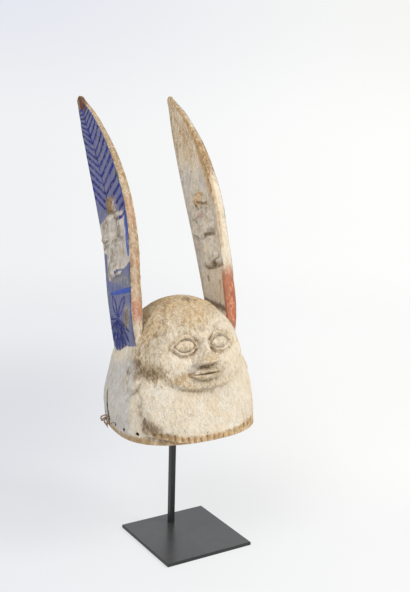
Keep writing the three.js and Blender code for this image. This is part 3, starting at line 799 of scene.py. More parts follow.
def ear_section(e):
    """X of the uncarved section at every place"""
    outer, inner, thick = ear_middle(e.station)
    round_back = np.interp(e.v, (0, 0.04, BACK_BORDER), (EAR_BACK_ROUND, EAR_BACK_ROUND / 3, 0))
    wedge = np.interp(e.v, (0, EAR_WEDGE_FROM, EAR_FACE_END), (EAR_BACK_THIN, EAR_WEDGE, 0)) * thick
    leading = lerp(outer - EAR_BEVEL, inner + EAR_BEVEL, e.part)
    trailing = lerp(inner + EAR_BACK_THIN * thick, outer - EAR_BACK_ROUND, e.part)
    return np.choose(e.kind, [outer - round_back, leading, inner + wedge, trailing])


def outer_carving(e):
    """Height of the outer face: figure, herringbone, leaves and band"""
    inside = smoothstep(BACK_BORDER - 0.01, BACK_BORDER + 0.03, e.v)
    inside = inside * (1 - smoothstep(FRONT_BORDER - 0.03, FRONT_BORDER, e.v))
    gouge = np.maximum(bell(e.branch, GOUGE_WIDTH) * inside, bell(e.vein, GOUGE_WIDTH))
    gouge = GOUGE_DEPTH * gouge * e.fan * (1 - e.near_head)
    band_cut = 0.9 * bell(e.band, 0.9)
    rim_line = 0.8 * bell((e.v - FRONT_BORDER) * e.width, 1.2) * smoothstep(0.6, 1.0, e.w)
    sunk = 1.5 * e.ground * (1 - smoothstep(0.0, 2.2, e.figure))
    cuts = sunk + gouge + e.leaf_cut + band_cut + rim_line
    return e.figure - cuts - 1.3 * e.dark_out + 1.1 * e.light_out


def inner_carving(e):
    """Height of the inner face: figure, base line, slits and, on the left, the crack"""
    sunk = 1.5 * e.ground * (1 - smoothstep(0.0, 2.2, e.figure))
    border = 0.5 * bell((e.v - 0.88) * e.width, 1.6)
    base_line = 1.2 * bell(e.q + 65 - 0.12 * e.p, 2.2) * (np.abs(e.p) < 42)
    slits = bell(np.abs((e.p + 72) % 17 - 8.5), 1.4)
    slits = slits * smoothstep(-66, -76, e.q) * smoothstep(-170, -120, e.q)
    crack_cut = 4.0 * bell(e.crack, 1.7) * e.on_left
    raised = 1.1 * e.figure + 0.8 * e.light_in
    return raised - 1.5 * sunk - border - 1.6 * e.dark_in - base_line - slits - crack_cut


def ear_points(e):
    """Points of the carved ear, with its worn and chipped edges"""
    x = ear_section(e)
    place = np.stack([x * e.side, e.y, e.z], -1)
    uneven = hand_carved(place, e.seed)
    lift = np.where(e.outward, outer_carving(e), inner_carving(e)) + 0.8 * uneven
    out = np.choose(e.kind, (1.0, 0.0, -1.0, 0.0))
    x = x + out * lift * smoothstep(0, 0.05, e.v)
    chipped = smoothstep(470, 440, e.z) * smoothstep(345, 365, e.z) * e.on_left
    chips = -0.6 * smoothstep(0.35, 0.75, noise(place, 7, e.seed + 9))
    chips = chips + chipped * 3.4 * noise(place, 15, e.seed + 4)
    rounded = np.sin(math.pi * e.part)
    push = (0.5 * uneven + chips - 0.4 + 1.1 * rounded) * e.leading
    push = push + (-0.5 * uneven - 0.5 * rounded) * (e.kind == TRAILING)
    moved = (e.ahead / e.width[..., None]) * push[..., None]
    return np.stack([x * e.side, e.y + moved[..., 0], e.z + moved[..., 1]], -1)


def paint_lines(e, fields):
    """Herringbone, leaves, band and strip on the outer face, as distances in millimetres"""
    brush = 0.5 * noise(e.bare, 16, e.seed + 21) + 0.3 * noise(e.bare, 6, e.seed + 22)
    drawn = (e.v > 0.03) & (e.v < 0.965) & (e.fan > 0.5)
    lines = np.where(drawn, e.branch - 2.2 - 0.3 * (e.v > VEIN) - brush, FAR)
    lines = np.minimum(lines, np.where(e.fan > 0.5, e.vein - 1.7 - brush, FAR))
    on_head = smoothstep(0.1, 0.8, e.figure) * (e.q > 30)
    off_figure = np.maximum(e.near_head * smoothstep(50, 44, e.q), on_head)
    lines = np.maximum(lines, 5.0 * (off_figure - 0.6))
    lines = np.where(e.z < LEAVES_TO_Z, np.minimum(lines, e.leaf_paint), lines)
    lined = e.painted & (e.v <= RED_FROM) if e.on_left else e.painted
    fields["line_mm"] = np.where(lined, lines, FAR)
    strip = flat_path(e.y, e.z, STRIP_PATH) - np.interp(e.z, (489, 503, 530, 551), (2.4, 4.8, 7.4, 4.2))
    bright = np.minimum(e.band, np.where(e.z > STRIP_FROM_Z, strip, FAR))
    fields["bright_mm"] = np.where(e.painted, bright, FAR)


def paint_slate(e, fields):
    """Slate ground of the outer face, left pale behind the figure, and the grey wash"""
    q_torn = e.q + 4.0 * noise(e.bare, 15, e.seed + 23)
    p_torn = e.p + 3.0 * noise(e.bare, 13, e.seed + 24)
    shoulders = 43 + 5 * bell(e.off, 14) - 0.004 * e.off**2
    pale = smoothstep(shoulders, shoulders - 7, q_torn) * smoothstep(-62, -54, q_torn + 0.25 * e.p)
    pale = pale * smoothstep(-41, -34, p_torn)
    violet = smoothstep(41, 48, p_torn) * smoothstep(-18, -26, e.q)
    pale = np.maximum(pale * (1 - violet), smoothstep(0.5, 2.0, e.figure) * (e.q > -64))
    pale = pale * (1 - 0.9 * strokes(e.p, e.q, OUTER_BLUE))
    pale = pale * smoothstep(-49, -43, p_torn + 0.12 * (e.q + 40))
    foot_of_leaves = 317 + 0.55 * np.abs(e.y - 66)
    low = smoothstep(foot_of_leaves - 1, foot_of_leaves + 2, e.z)
    slate = (1 - clamp01(pale)) * low * (1 - smoothstep(6.6, 6.9, e.w)) * (1 - 0.75 * e.plum)
    fields["slate"] = slate * e.painted
    fields["leafy"] = e.outward * smoothstep(402, 372, e.z)
    fields["worn"] = e.outward * smoothstep(-62, -69, e.q) * smoothstep(432, 438, e.z)
    fog = 0.6 * smoothstep(640, 580, e.z) * smoothstep(-70, -60, e.q) + 0.25 * smoothstep(-100, -150, e.q)
    fields["grey"] = np.where(e.outward, 0.85, np.where(e.inward, fog, 0.05))


def paint_ochre(e, fields):
    """Ochre on both faces and on the left ear's front edge, with the buff and the tan"""
    legs = bell(e.off + 2, 10) * smoothstep(-60, -52, e.q) * smoothstep(-10, -20, e.q)
    outside = (0.95 * e.head + 0.42 * legs) * smoothstep(0.6, 2.0, e.figure)
    streaks = bell(e.v - 0.92, 0.1) * smoothstep(2.6, 4.4, e.w)
    wash = (0.3 + 0.25 * bell(e.v - 0.55, 0.25)) * smoothstep(575, 645, e.z)
    split = 0.95 * bell(e.crack, 2.4) * e.on_left
    spread = 0.3 * smoothstep(-72, -90, e.q) * bell(e.p - 22, 16)
    inside = strongest(streaks, wash, 0.85 * e.head, split, spread)
    border = 0.8 * bell(e.part - 1, 0.3) * smoothstep(470, 500, e.z)
    edge = strongest(0.45 * bell(e.z - 640, 46), 0.75 * bell(e.z - 643, 26), border) * e.on_left
    fields["ochre"] = np.where(e.outward, outside, np.where(e.inward, inside, edge))
    if e.on_left:
        buff = 0.75 * e.upper + 0.2 * smoothstep(470, 430, e.z)
    else:
        buff = 0.8 - 0.65 * smoothstep(450, 385, e.z)
    fields["buff"] = np.where(e.leading, buff, 0.0)
    inner_tan = 0.05 + 0.3 * smoothstep(600, 660, e.z)
    inner_tan = inner_tan + 0.3 * bell(e.v - 0.1, 0.14) * smoothstep(470, 540, e.z)
    edge_tan = (0.35 if e.on_left else 0.8) * e.upper
    fields["tan"] = np.select([e.leading, e.inward, e.kind == TRAILING], [edge_tan, inner_tan, 0.5], 0.0)


def paint_brown(e, fields):
    """Brown on the tips, the cap and the plum patch and in the sunk ground; painted shadow under the figure's
    head and along the dark strokes; painted shade where the inner face meets the dome
    """
    hollow = smoothstep(0.2, 1.0, e.ground) * (1 - smoothstep(0.2, 2.0, e.figure))
    beside = bell(np.abs(e.off) - 20, 12)
    # painted shadow under the figure's head, and painted shade where the ear's inner face meets the dome
    under_head = 0.5 * bell(e.q - 37, 3.2) * bell(e.off, 17)
    at_dome = 0.9 * bell(e.z - 386, 6)
    tip = (0.4 if e.on_left else 1.0) * smoothstep(6.45, 6.85, e.w)
    # the dark strokes add painted shadow on the figures
    outside = strongest(0.1 * hollow, under_head, 0.9 * e.dark_out, 0.95 * e.plum, 0.75 * e.head, tip)
    inside = strongest(0.12 * hollow * beside, under_head, e.dark_in, at_dome)
    edge = np.maximum(tip, (0.36 if e.on_left else 0.3) * e.upper)
    fields["brown"] = np.where(e.outward, outside, np.where(e.inward, inside, edge))


def paint_red(e, fields):
    """Strong red on the left ear's front edge, faint salmon on the right's, rust near the tips"""
    rusty = e.outward if e.on_left else e.outward | e.leading
    fields["rust"] = 0.95 * bell(e.v - 0.72, 0.34) * smoothstep(6.35, 6.7, e.w) * rusty
    if e.on_left:
        strong = smoothstep(482, 424, e.z) * smoothstep(346, 362, e.z)
        chest = 0.55 * bell(np.hypot(e.p - 1, e.q - 25), 9)
        foot = 0.55 * bell(np.hypot(e.p - 16, e.q + 57), 7)
        red = np.where(e.leading, strong, np.where(e.inward, np.maximum(chest, foot), 0.0))
        by_edge = (e.kind != TRAILING) & (e.v > RED_FROM)
        fields["red"] = np.where(by_edge, np.maximum(red, 0.9 * strong), red)
    else:
        salmon = np.where(e.z > 470, 0.42 - 0.22 * bell(e.z - 512, 20), 0.26 + 0.42 * bell(e.z - 402, 20))
        salmon = salmon * smoothstep(370, 392, e.z) * smoothstep(612, 560, e.z)
        fields["red"] = np.where(e.leading, salmon, 0.0)


def paint_fresh(e, fields):
    """Chalk ground, its grit, the places where it is still white, and the painted highlights on the figures
    """
    fields["chalk"] = np.where(e.leading, 1.0 - 0.2 * e.upper, 1.0)
    fields["grit"] = np.where(e.outward, 0.5, 0.2)
    band_of_white = smoothstep(622, 600, e.z) * smoothstep(430, 480, e.z)
    band_of_white = band_of_white * (0.55 + 0.35 * bell(e.z - 566, 24))
    edge = np.maximum(band_of_white, 0.7 * bell(e.z - 690, 12)) * e.leading * e.on_left
    inside = 0.3 * smoothstep(600, 560, e.z) * smoothstep(410, 440, e.z)
    # the light strokes add painted highlights on both faces of the figures
    inside = np.maximum(inside, 0.85 * e.light_in)
    fields["fresh"] = np.where(e.outward, 0.8 * e.light_out, np.where(e.inward, inside, edge))


def ear_skin(side, seed):
    """Points of one tall ear and the paint fields at them"""
    e = ear_grid(side, seed)
    points = ear_points(e)
    e.y, e.z = points[..., 1], points[..., 2]
    e.head = smoothstep(37, 43, e.q) * smoothstep(72, 63, e.q) * bell(e.off, 15)
    e.plum = bell(np.hypot((e.y - 33 - 0.2 * (400 - e.z)) / 13, (e.z - 388) / 32), 1.0)
    e.upper = smoothstep(580, 620, e.z)
    e.painted = e.outward & (e.v > PAINT_FROM)
    fields = blank_fields(e.w)
    for layer in (paint_lines, paint_slate, paint_ochre, paint_brown, paint_red, paint_fresh):
        layer(e, fields)
    return points, fields


def tip_rings(points):
    """The last rings of an ear, drawn in to close its rounded tip"""
    end = points[-1]
    middle = end.mean(0)
    onward = middle - points[-8].mean(0)
    onward[0] = 0
    onward /= np.linalg.norm(onward)
    turns = np.linspace(0, 90, 9)[1:] * DEGREE
    return np.stack([lerp(end, middle, 1 - math.cos(t)) + onward * EAR_TIP * math.sin(t) for t in turns])



# Paint and wear on the helmet

# Brown stains on the helmet: place, size and strength. Those from x 56 to 79, along the foot of the left ear,
# are painted shade where the ear meets the dome.
STAINS = (
    ((-96, -14, 311), 12, 0.9), ((-98, -1, 319), 13, 0.7), ((-97, -8, 306), 12, 0.8),
    ((-106, 16, 304), 7, 0.7),
    ((-109, 10, 288), 5, 0.7), ((-106, -17, 281), 6, 0.8), ((-88, -24, 309), 13, 0.8),
    ((-76, -32, 306), 10, 0.45),
    ((-105, 17, 309), 7, 0.5), ((-106, -27, 259), 6, 0.5), ((-106, -31, 247), 8, 0.5),
    ((-103, -40, 237), 11, 0.7), ((-99, -48, 227), 15, 0.9), ((-93, -55, 224), 15, 0.9),
    ((-88, -60, 220), 13, 0.9), ((-81, -65, 215), 12, 0.9),
    ((-70, -67, 213), 11, 0.7), ((-100, -44, 208), 12, 0.6), ((-84, -58, 205), 9, 0.6),
    ((-1, 12, 416), 8, 0.9), ((9, 10, 415), 6, 0.8), ((-36, 22, 408), 8, 0.6), ((10, -26, 394), 7, 0.6),
    ((19, -30, 386), 8, 0.6), ((-69, -13, 368), 9, 0.5), ((-72, -36, 327), 4, 0.6), ((-66, -40, 322), 3, 0.6),
    # from x 56 to 79, here and in the next line: painted shade where the left ear meets the dome
    ((56, 15, 394), 8, 0.9), ((66, 22, 386), 8, 0.9), ((37, 3, 403), 2.6, 1.0), ((76, 20, 382), 7, 0.9),
    ((79, 40, 383), 7, 1.0), ((79, 58, 386), 7, 1.0), ((79, 74, 389), 6, 0.9),
    ((-87, 12, 372), 8, 0.6), ((-111, 4, 214), 6, 0.5), ((-105, -22, 212), 4, 0.5), ((-48, -53, 298), 5, 0.5),
)
SPLIT_PATH = ((-119, 56, 200), (-118, 58, 215), (-114, 66, 233), (-109, 77, 255))
JAW_LINE = (
    (-80, -26, 308), (-73, -39, 303), (-48, -53, 299), (-19, -61, 287), (23, -58, 284), (58, -44, 298),
)
CHEEK_TO_EAR = ((-96, 5, 330), (-90, -14, 318), (-76, -32, 308))
CORNER_FOLD = ((-103, -30, 272), (-107, -30, 247), (-103, -42, 224))


def jaw_height(x):
    """Height of the lower edge of the face across the front"""
    return CHIN_Z + 0.0047 * np.abs(x) ** 2


def helmet_zones(angle, point):
    """Parts of the helmet that its layers of paint share"""
    x, y, z = (point[..., k] for k in range(3))
    turn = np.abs(np.degrees(angle))
    h = SimpleNamespace(angle=np.abs(angle), point=point, x=x, y=y, z=z, turn=turn)
    h.front = smoothstep(105, 60, turn)
    h.back = smoothstep(95, 150, turn)
    h.dome = smoothstep(374, 403, z + 0.3 * y)
    h.rim = smoothstep(14, 5, z - RIM_Z)
    h.past_collar = smoothstep(COLLAR_CORNER * 0.85, COLLAR_CORNER * 1.05, h.angle)
    h.above_hem = z - hem_height(angle)
    h.notch = notch_wave(angle, z) / NOTCH_DEPTH
    return h


def paint_helmet_wear(h, fields):
    """Tan wear and ochre on the face, the dome and the rim; along the jaw and under the chin they are also
    painted shade
    """
    x, z, front = h.x, h.z, h.front
    # tan along the jaw line reaches down onto the collar: tan wear and painted shade under the jaw
    jaw = bell(near_path(h.point, JAW_LINE), 15) * smoothstep(-13, -4, z - jaw_height(x))
    jaw = jaw * (0.35 + 0.75 * bell(x + 34, 36))
    cheek = 0.9 * bell(near_path(h.point, CHEEK_TO_EAR), 19)
    corner = 0.6 * bell(near_path(h.point, CORNER_FOLD), 9)
    low_cheek = 0.6 * spot(x, z, (-38, 300), (26, 15)) * front
    temple = 0.95 * bell(np.linalg.norm((h.point - (-74, 2, 372)) / (1, 1, 1.4), axis=-1), 35)
    forehead = 0.95 * spot(x, z, (-12, 394), (52, 26)) * front
    nose = 0.8 * spot(x, z, (0, NOSE_Z + 8), (20, 14)) * front
    muzzle = 0.5 * spot(x, z, (0, MOUTH_Z), (36, 26)) * front
    from_eye = np.hypot((np.abs(x) - EYE_APART) / 26, (z - EYE_Z) / 17)
    lids = (0.5 * bell(from_eye - 0.9, 0.3) + 0.35 * bell(from_eye, 0.4)) * front
    on_face = strongest(jaw, cheek, corner, low_cheek, temple, forehead, nose, muzzle, lids)
    fields["tan"] = clamp01(strongest(on_face, 1.05 * h.dome, 0.55 * h.back, 1.1 * h.rim * h.past_collar))
    hem = bell(h.above_hem - 5, 6.5) * smoothstep(COLLAR_CORNER, COLLAR_CORNER * 0.9, h.angle)
    # ochre on the collar under the chin: painted shade
    under_chin = 0.35 * spot(x, z, (8, 262), (16, 9)) + 0.25 * spot(x, z, (4, 246), (20, 12))
    warm = strongest(0.6 * jaw, 0.45 * muzzle, 0.8 * low_cheek, 0.5 * forehead, 0.4 * temple, 0.35 * h.dome)
    fields["ochre"] = strongest(0.85 * hem, 0.65 * h.rim, under_chin * front, 0.45 * nose, warm)
    fields["grit"] = 0.25 + 0.35 * strongest(h.dome, temple, forehead)


def paint_helmet_chalk(h, fields):
    """Chalk; paler on the hem's teeth as painted highlight and on the face's left side as painted light; and
    the grey wash behind the face
    """
    fields["chalk"] = 1.0 - 0.5 * h.dome - 0.3 * h.back
    # the hem's teeth painted paler: painted highlight
    teeth = smoothstep(NOTCH_LENGTH + 2, NOTCH_LENGTH - 2, h.above_hem) * (h.above_hem > 0)
    teeth = 0.45 * teeth * (1 - h.notch) * smoothstep(COLLAR_CORNER, COLLAR_CORNER * 0.8, h.angle)
    # the face's left side painted paler: painted light
    bright_side = 0.45 * smoothstep(22, 52, h.x) * smoothstep(262, 284, h.z) * smoothstep(362, 340, h.z)
    fields["fresh"] = np.maximum(teeth, bright_side * h.front)
    grey = smoothstep(62, 80, h.turn) * smoothstep(345, 300, h.z + 0.2 * h.y)
    fields["grey"] = grey * smoothstep(-4, 12, h.z - RIM_Z)


def paint_helmet_brown(h, fields):
    """Brown stains, with painted shade where the left ear meets the dome; brown along the rim, the split and
    round the small ears; and dirt and painted shade in the hem's notches
    """
    stain = 0.0
    for place, size, strength in STAINS:
        stain = np.maximum(stain, strength * bell(np.linalg.norm(h.point - place, axis=-1), size))
    split = 0.95 * bell(near_path(h.point, SPLIT_PATH), 4.2)
    lobe = 0.45 * bell(lobe_place(h.point) - 1.5, 0.3) * smoothstep(5, -6, h.y - LOBE_Y)
    lobe = lobe * (np.abs(h.x) > LOBE_X)
    # brown in the notches: dirt and painted shade
    fields["brown"] = strongest(stain, 0.45 * h.rim * h.past_collar, 0.45 * h.notch, split, lobe)


def helmet_paint(angle, point):
    """Paint fields of the helmet, at its uncarved places"""
    zones = helmet_zones(angle, point)
    fields = blank_fields(zones.x)
    for layer in (paint_helmet_wear, paint_helmet_chalk, paint_helmet_brown):
        layer(zones, fields)
    return fields


def crevices(points, normals, steps):
    """How far each point lies under its surroundings, in millimetres"""
    total = 0.0
    for step in steps:
        around = 0.0
        for axis in (0, 1):
            around = around + np.roll(points, step, axis) + np.roll(points, -step, axis)
        total = total + np.sum((around / 4 - points) * normals, -1) / 2
    total[:4] = 0
    total[-4:] = 0
    return total


def grid_normals(points):
    du = np.roll(points, -1, 1) - np.roll(points, 1, 1)
    dv = np.roll(points, -1, 0) - np.roll(points, 1, 0)
    n = np.cross(du, dv)
    return n / np.maximum(np.linalg.norm(n, axis=-1, keepdims=True), 1e-9)


# Mesh pieces

WELD = 0.01
BOX_MARGIN = 0.1


def only_nothing():
    bpy.ops.object.select_all(action="DESELECT")


def only(*pieces):
    """Select these pieces alone, the first of them active"""
    only_nothing()
    for piece in pieces:
        piece.select_set(True)
    bpy.context.view_layer.objects.active = pieces[0]


def tidy_mesh(piece):
    only(piece)
    bpy.ops.object.mode_set(mode="EDIT")
    bpy.ops.mesh.select_all(action="SELECT")
    bpy.ops.mesh.remove_doubles(threshold=WELD * MM)
    bpy.ops.mesh.normals_make_consistent(inside=False)
    bpy.ops.object.mode_set(mode="OBJECT")


def skin(name, points):
    """A grid drawn over rows and columns of points, closed where its edges meet"""
    rows, columns = points.shape[:2]
    only_nothing()
    bpy.ops.mesh.primitive_grid_add(x_subdivisions=columns - 1, y_subdivisions=rows - 1, size=2)
    piece = bpy.context.object
    piece.name = piece.data.name = name
    flat = np.empty(len(piece.data.vertices) * 3, np.float32)
    piece.data.vertices.foreach_get("co", flat)
    flat = flat.reshape(-1, 3)
    column = np.round((flat[:, 0] + 1) / 2 * (columns - 1)).astype(int)
    row = np.round((flat[:, 1] + 1) / 2 * (rows - 1)).astype(int)
    placed = points[row, column] * MM
    piece.data.vertices.foreach_set("co", placed.astype(np.float32).ravel())
    piece.data.update()
    tidy_mesh(piece)
    return piece


def carve(piece, tool, operation):
    """Join a tool to a piece or cut it away, and throw the tool away"""
    only(piece)
    cut = piece.modifiers.new("cut", "BOOLEAN")
    cut.operation = operation
    cut.solver = "MANIFOLD"
    cut.object = tool
    bpy.ops.object.modifier_apply(modifier=cut.name)
    bpy.data.objects.remove(tool)


def inside_box(points):
    """Points held inside the solids' box. On the mask's right the ties reach further than the wood."""
    high = np.array(packed_high) / MM - (0.0, BOX_MARGIN, BOX_MARGIN)
    low = np.array(packed_low) / MM + (0.0, BOX_MARGIN, 0.0)
    low[0] = -high[0]
    return np.clip(points, low, high)


# Node helpers

def paint(red, green, blue):
    """A matched colour, from 0 to 255, in the linear light that shaders use"""
    shares = (value / 255 for value in (red, green, blue))
    return (*(c / 12.92 if c <= 0.04045 else ((c + 0.055) / 1.055) ** 2.4 for c in shares), 1.0)


class Bench:
    """Lays out the nodes of one material or node group"""

    def __init__(self, tree):
        self.tree = tree

    def feed(self, socket, value):
        if isinstance(value, bpy.types.NodeSocket):
            self.tree.links.new(value, socket)
        else:
            socket.default_value = value

    def add(self, kind, **settings):
        node = self.tree.nodes.new(kind)
        for name, value in settings.items():
            setattr(node, name, value)
        return node

    def maths(self, operation, *values):
        node = self.add("ShaderNodeMath", operation=operation)
        for socket, value in zip(node.inputs, values):
            self.feed(socket, value)
        return node.outputs[0]

    def total(self, *terms):
        """Sum of (value, weight) pairs and plain numbers"""
        result = 0.0
        for term in terms:
            if isinstance(term, tuple):
                result = self.maths("MULTIPLY_ADD", term[0], term[1], result)
            else:
                result = self.maths("ADD", term, result)
        return result

    def times(self, *values):
        result = values[0]
        for value in values[1:]:
            result = self.maths("MULTIPLY", result, value)
        return result

    def ramp(self, value, low, high):
        node = self.add("ShaderNodeMapRange", interpolation_type="SMOOTHSTEP")
        self.feed(node.inputs["Value"], value)
        self.feed(node.inputs["From Min"], low)
        self.feed(node.inputs["From Max"], high)
        return node.outputs["Result"]

    def stretched(self, vector, factors):
        node = self.add("ShaderNodeVectorMath", operation="MULTIPLY")
        self.feed(node.inputs[0], vector)
        self.feed(node.inputs[1], factors)
        return node.outputs[0]

    def parts(self, vector):
        """X, Y and Z of a vector"""
        node = self.add("ShaderNodeSeparateXYZ")
        self.feed(node.inputs[0], vector)
        return node.outputs

    def joined(self, x, y, z):
        node = self.add("ShaderNodeCombineXYZ")
        for socket, value in zip(node.inputs, (x, y, z)):
            self.feed(socket, value)
        return node.outputs[0]

    def along(self, vector_parts, heading):
        """How far a place lies along a level heading"""
        return self.total((vector_parts[0], heading[0]), (vector_parts[1], heading[1]))

    def cloud(self, vector, size, detail, roughness, distortion=0.0):
        """Noise with lumps of the given size in millimetres"""
        node = self.add("ShaderNodeTexNoise")
        self.feed(node.inputs["Vector"], vector)
        scale = self.maths("DIVIDE", 1.0, size) if isinstance(size, bpy.types.NodeSocket) else 1 / size
        self.feed(node.inputs["Scale"], scale)
        node.inputs["Detail"].default_value = detail
        node.inputs["Roughness"].default_value = roughness
        node.inputs["Distortion"].default_value = distortion
        return node.outputs["Fac"]

    def ridges(self, value):
        """How far noise lies from its middle, which is least along thin wandering lines"""
        return self.maths("ABSOLUTE", self.maths("SUBTRACT", value, 0.5))

    def blend(self, share, under, over):
        node = self.add("ShaderNodeMix", data_type="RGBA")
        self.feed(node.inputs[0], share)
        self.feed(node.inputs[6], under)
        self.feed(node.inputs[7], over)
        return node.outputs[2]

    def coat(self, under, over, *shares):
        """A colour laid over another, as thick as its shares multiplied together"""
        return self.blend(self.times(*shares), under, over)

    def field(self, name):
        return self.add("ShaderNodeAttribute", attribute_name=name).outputs["Fac"]

    def use(self, group, **values):
        """Outputs of a shared node group. An underscore in a name stands for the space in a socket's."""
        node = self.add("ShaderNodeGroup", node_tree=group)
        for name, value in values.items():
            self.feed(node.inputs[name.replace("_", " ")], value)
        return node.outputs

    def relief(self, shader, height, strength, depth):
        """Bump a shader by a height, its depth given in millimetres"""
        bump = self.add("ShaderNodeBump")
        bump.inputs["Strength"].default_value = strength
        bump.inputs["Distance"].default_value = depth * MM
        self.feed(bump.inputs["Height"], height)
        self.feed(shader.inputs["Normal"], bump.outputs[0])


def new_group(name, takes, gives):
    """An empty node group. It takes a vector for each name that has no usual value, and gives numbers."""
    group = bpy.data.node_groups.new(name, "ShaderNodeTree")
    for label, usual in takes.items():
        kind = "NodeSocketVector" if usual is None else "NodeSocketFloat"
        socket = group.interface.new_socket(name=label, in_out="INPUT", socket_type=kind)
        if usual is not None:
            socket.default_value = usual
    for label in gives:
        group.interface.new_socket(name=label, in_out="OUTPUT", socket_type="NodeSocketFloat")
    bench = Bench(group)
    return group, bench, bench.add("NodeGroupInput").outputs, bench.add("NodeGroupOutput").inputs


def new_material(name):
    material = bpy.data.materials.new(name)
    material.use_nodes = True
    bench = Bench(material.node_tree)
    shader = material.node_tree.nodes["Principled BSDF"]
    place = bench.add("ShaderNodeTexCoord").outputs["Object"]
    return material, bench, shader, bench.stretched(place, (1 / MM, 1 / MM, 1 / MM))


# Effects that several materials share

def make_mottle():
    """Uneven colour at three sizes, each spread over 0 to 1"""
    takes = {"Place": None, "Broad size": 48.0, "Fine size": 8.0}
    group, bench, given, out = new_group("mottle", takes, ("Broad", "Fine", "Grit"))
    grit_size = bench.maths("MULTIPLY", given["Fine size"], 0.42)
    clouds = {
        "Broad": bench.cloud(given["Place"], given["Broad size"], 4.0, 0.6),
        "Fine": bench.cloud(given["Place"], given["Fine size"], 4.0, 0.56, 0.8),
        "Grit": bench.cloud(given["Place"], grit_size, 3.0, 0.6),
    }
    for name, cloud in clouds.items():
        bench.feed(out[name], bench.ramp(cloud, 0.3, 0.7))
    return group


def make_grain():
    """Long fibres that run upwards, wavering a little round knots"""
    takes = {"Place": None, "Fibre size": 2.2, "Length": 12.0}
    group, bench, given, out = new_group("grain", takes, ("Shade", "Height", "Check"))
    squeeze = bench.joined(1.0, 1.0, bench.maths("DIVIDE", 1.0, given["Length"]))
    drawn = bench.stretched(given["Place"], squeeze)
    rings = bench.cloud(drawn, bench.maths("MULTIPLY", given["Fibre size"], 3.0), 2.0, 0.5, 0.6)
    fibres = bench.cloud(drawn, given["Fibre size"], 4.0, 0.65)
    checks = bench.cloud(drawn, bench.maths("MULTIPLY", given["Fibre size"], 1.7), 2.0, 0.4, 0.2)
    bench.feed(out["Shade"], bench.ramp(bench.total((rings, 0.5), (fibres, 0.5)), 0.36, 0.64))
    bench.feed(out["Height"], fibres)
    bench.feed(out["Check"], bench.ramp(bench.ridges(checks), 0.012, 0.0))
    return group


def make_cover():
    """Paint inside an outline, its edge wandering and broken by the brush"""
    takes = {"Distance": 0.0, "Place": None, "Wander": 0.6, "Soft": 0.4}
    group, bench, given, out = new_group("cover", takes, ("Cover",))
    wave = bench.cloud(given["Place"], 6.0, 4.0, 0.6)
    shift = bench.times(bench.maths("SUBTRACT", wave, 0.5), given["Wander"], 4.0)
    edge = bench.maths("ADD", given["Distance"], shift)
    outside = bench.maths("MULTIPLY", given["Soft"], -1.0)
    bench.feed(out["Cover"], bench.ramp(edge, given["Soft"], outside))
    return group


def make_pits():
    """Round pits or specks, in a share of the cells of a loose grid"""
    takes = {"Place": None, "Spacing": 7.0, "Radius": 0.16, "Share": 0.2}
    group, bench, given, out = new_group("pits", takes, ("Pit",))
    cells = bench.add("ShaderNodeTexVoronoi")
    bench.feed(cells.inputs["Vector"], given["Place"])
    bench.feed(cells.inputs["Scale"], bench.maths("DIVIDE", 1.0, given["Spacing"]))
    pick = bench.add("ShaderNodeSeparateColor")
    bench.feed(pick.inputs[0], cells.outputs["Color"])
    chosen = bench.maths("LESS_THAN", pick.outputs[0], given["Share"])
    size = bench.times(given["Radius"], bench.maths("ADD", pick.outputs[1], 0.4))
    inner = bench.maths("MULTIPLY", size, 0.6)
    bench.feed(out["Pit"], bench.times(chosen, bench.ramp(cells.outputs["Distance"], size, inner)))
    return group


# Level headings along which the scratches are measured
SCRATCH_LEVEL = (0.85, -0.53)
SCRATCH_DEEP = (0.32, 0.5)


def make_scratches():
    """Thin slanting scratches, as a scraper or a stiff brush leaves them"""
    takes = {"Place": None, "Lean": 0.5, "Spacing": 5.0, "Length": 8.0}
    group, bench, given, out = new_group("scratches", takes, ("Scratch",))
    parts = bench.parts(given["Place"])
    level = bench.along(parts, SCRATCH_LEVEL)
    up = bench.maths("MULTIPLY_ADD", level, given["Lean"], parts[2])
    lean_back = bench.maths("MULTIPLY", given["Lean"], -1.0)
    turned = bench.joined(
        bench.maths("MULTIPLY_ADD", parts[2], lean_back, level),
        bench.along(parts, SCRATCH_DEEP),
        bench.maths("DIVIDE", up, given["Length"]),
    )
    wave = bench.cloud(turned, given["Spacing"], 2.0, 0.5, 0.15)
    bench.feed(out["Scratch"], bench.ramp(bench.ridges(wave), 0.065, 0.012))
    return group


def make_dust():
    """Pale dust that settles on what faces upwards"""
    group, bench, given, out = new_group("dust", {"Place": None, "Amount": 0.5}, ("Dust",))
    facing = bench.parts(bench.add("ShaderNodeNewGeometry").outputs["Normal"])
    patches = bench.cloud(given["Place"], 22.0, 6.0, 0.7)
    upward = bench.ramp(facing[2], 0.2, 1.0)
    bench.feed(out["Dust"], bench.times(upward, bench.ramp(patches, 0.35, 0.75), given["Amount"]))
    return group


MOTTLE = make_mottle()
GRAIN = make_grain()
COVER = make_cover()
PITS = make_pits()
SCRATCHES = make_scratches()
DUST = make_dust()


# Finishes

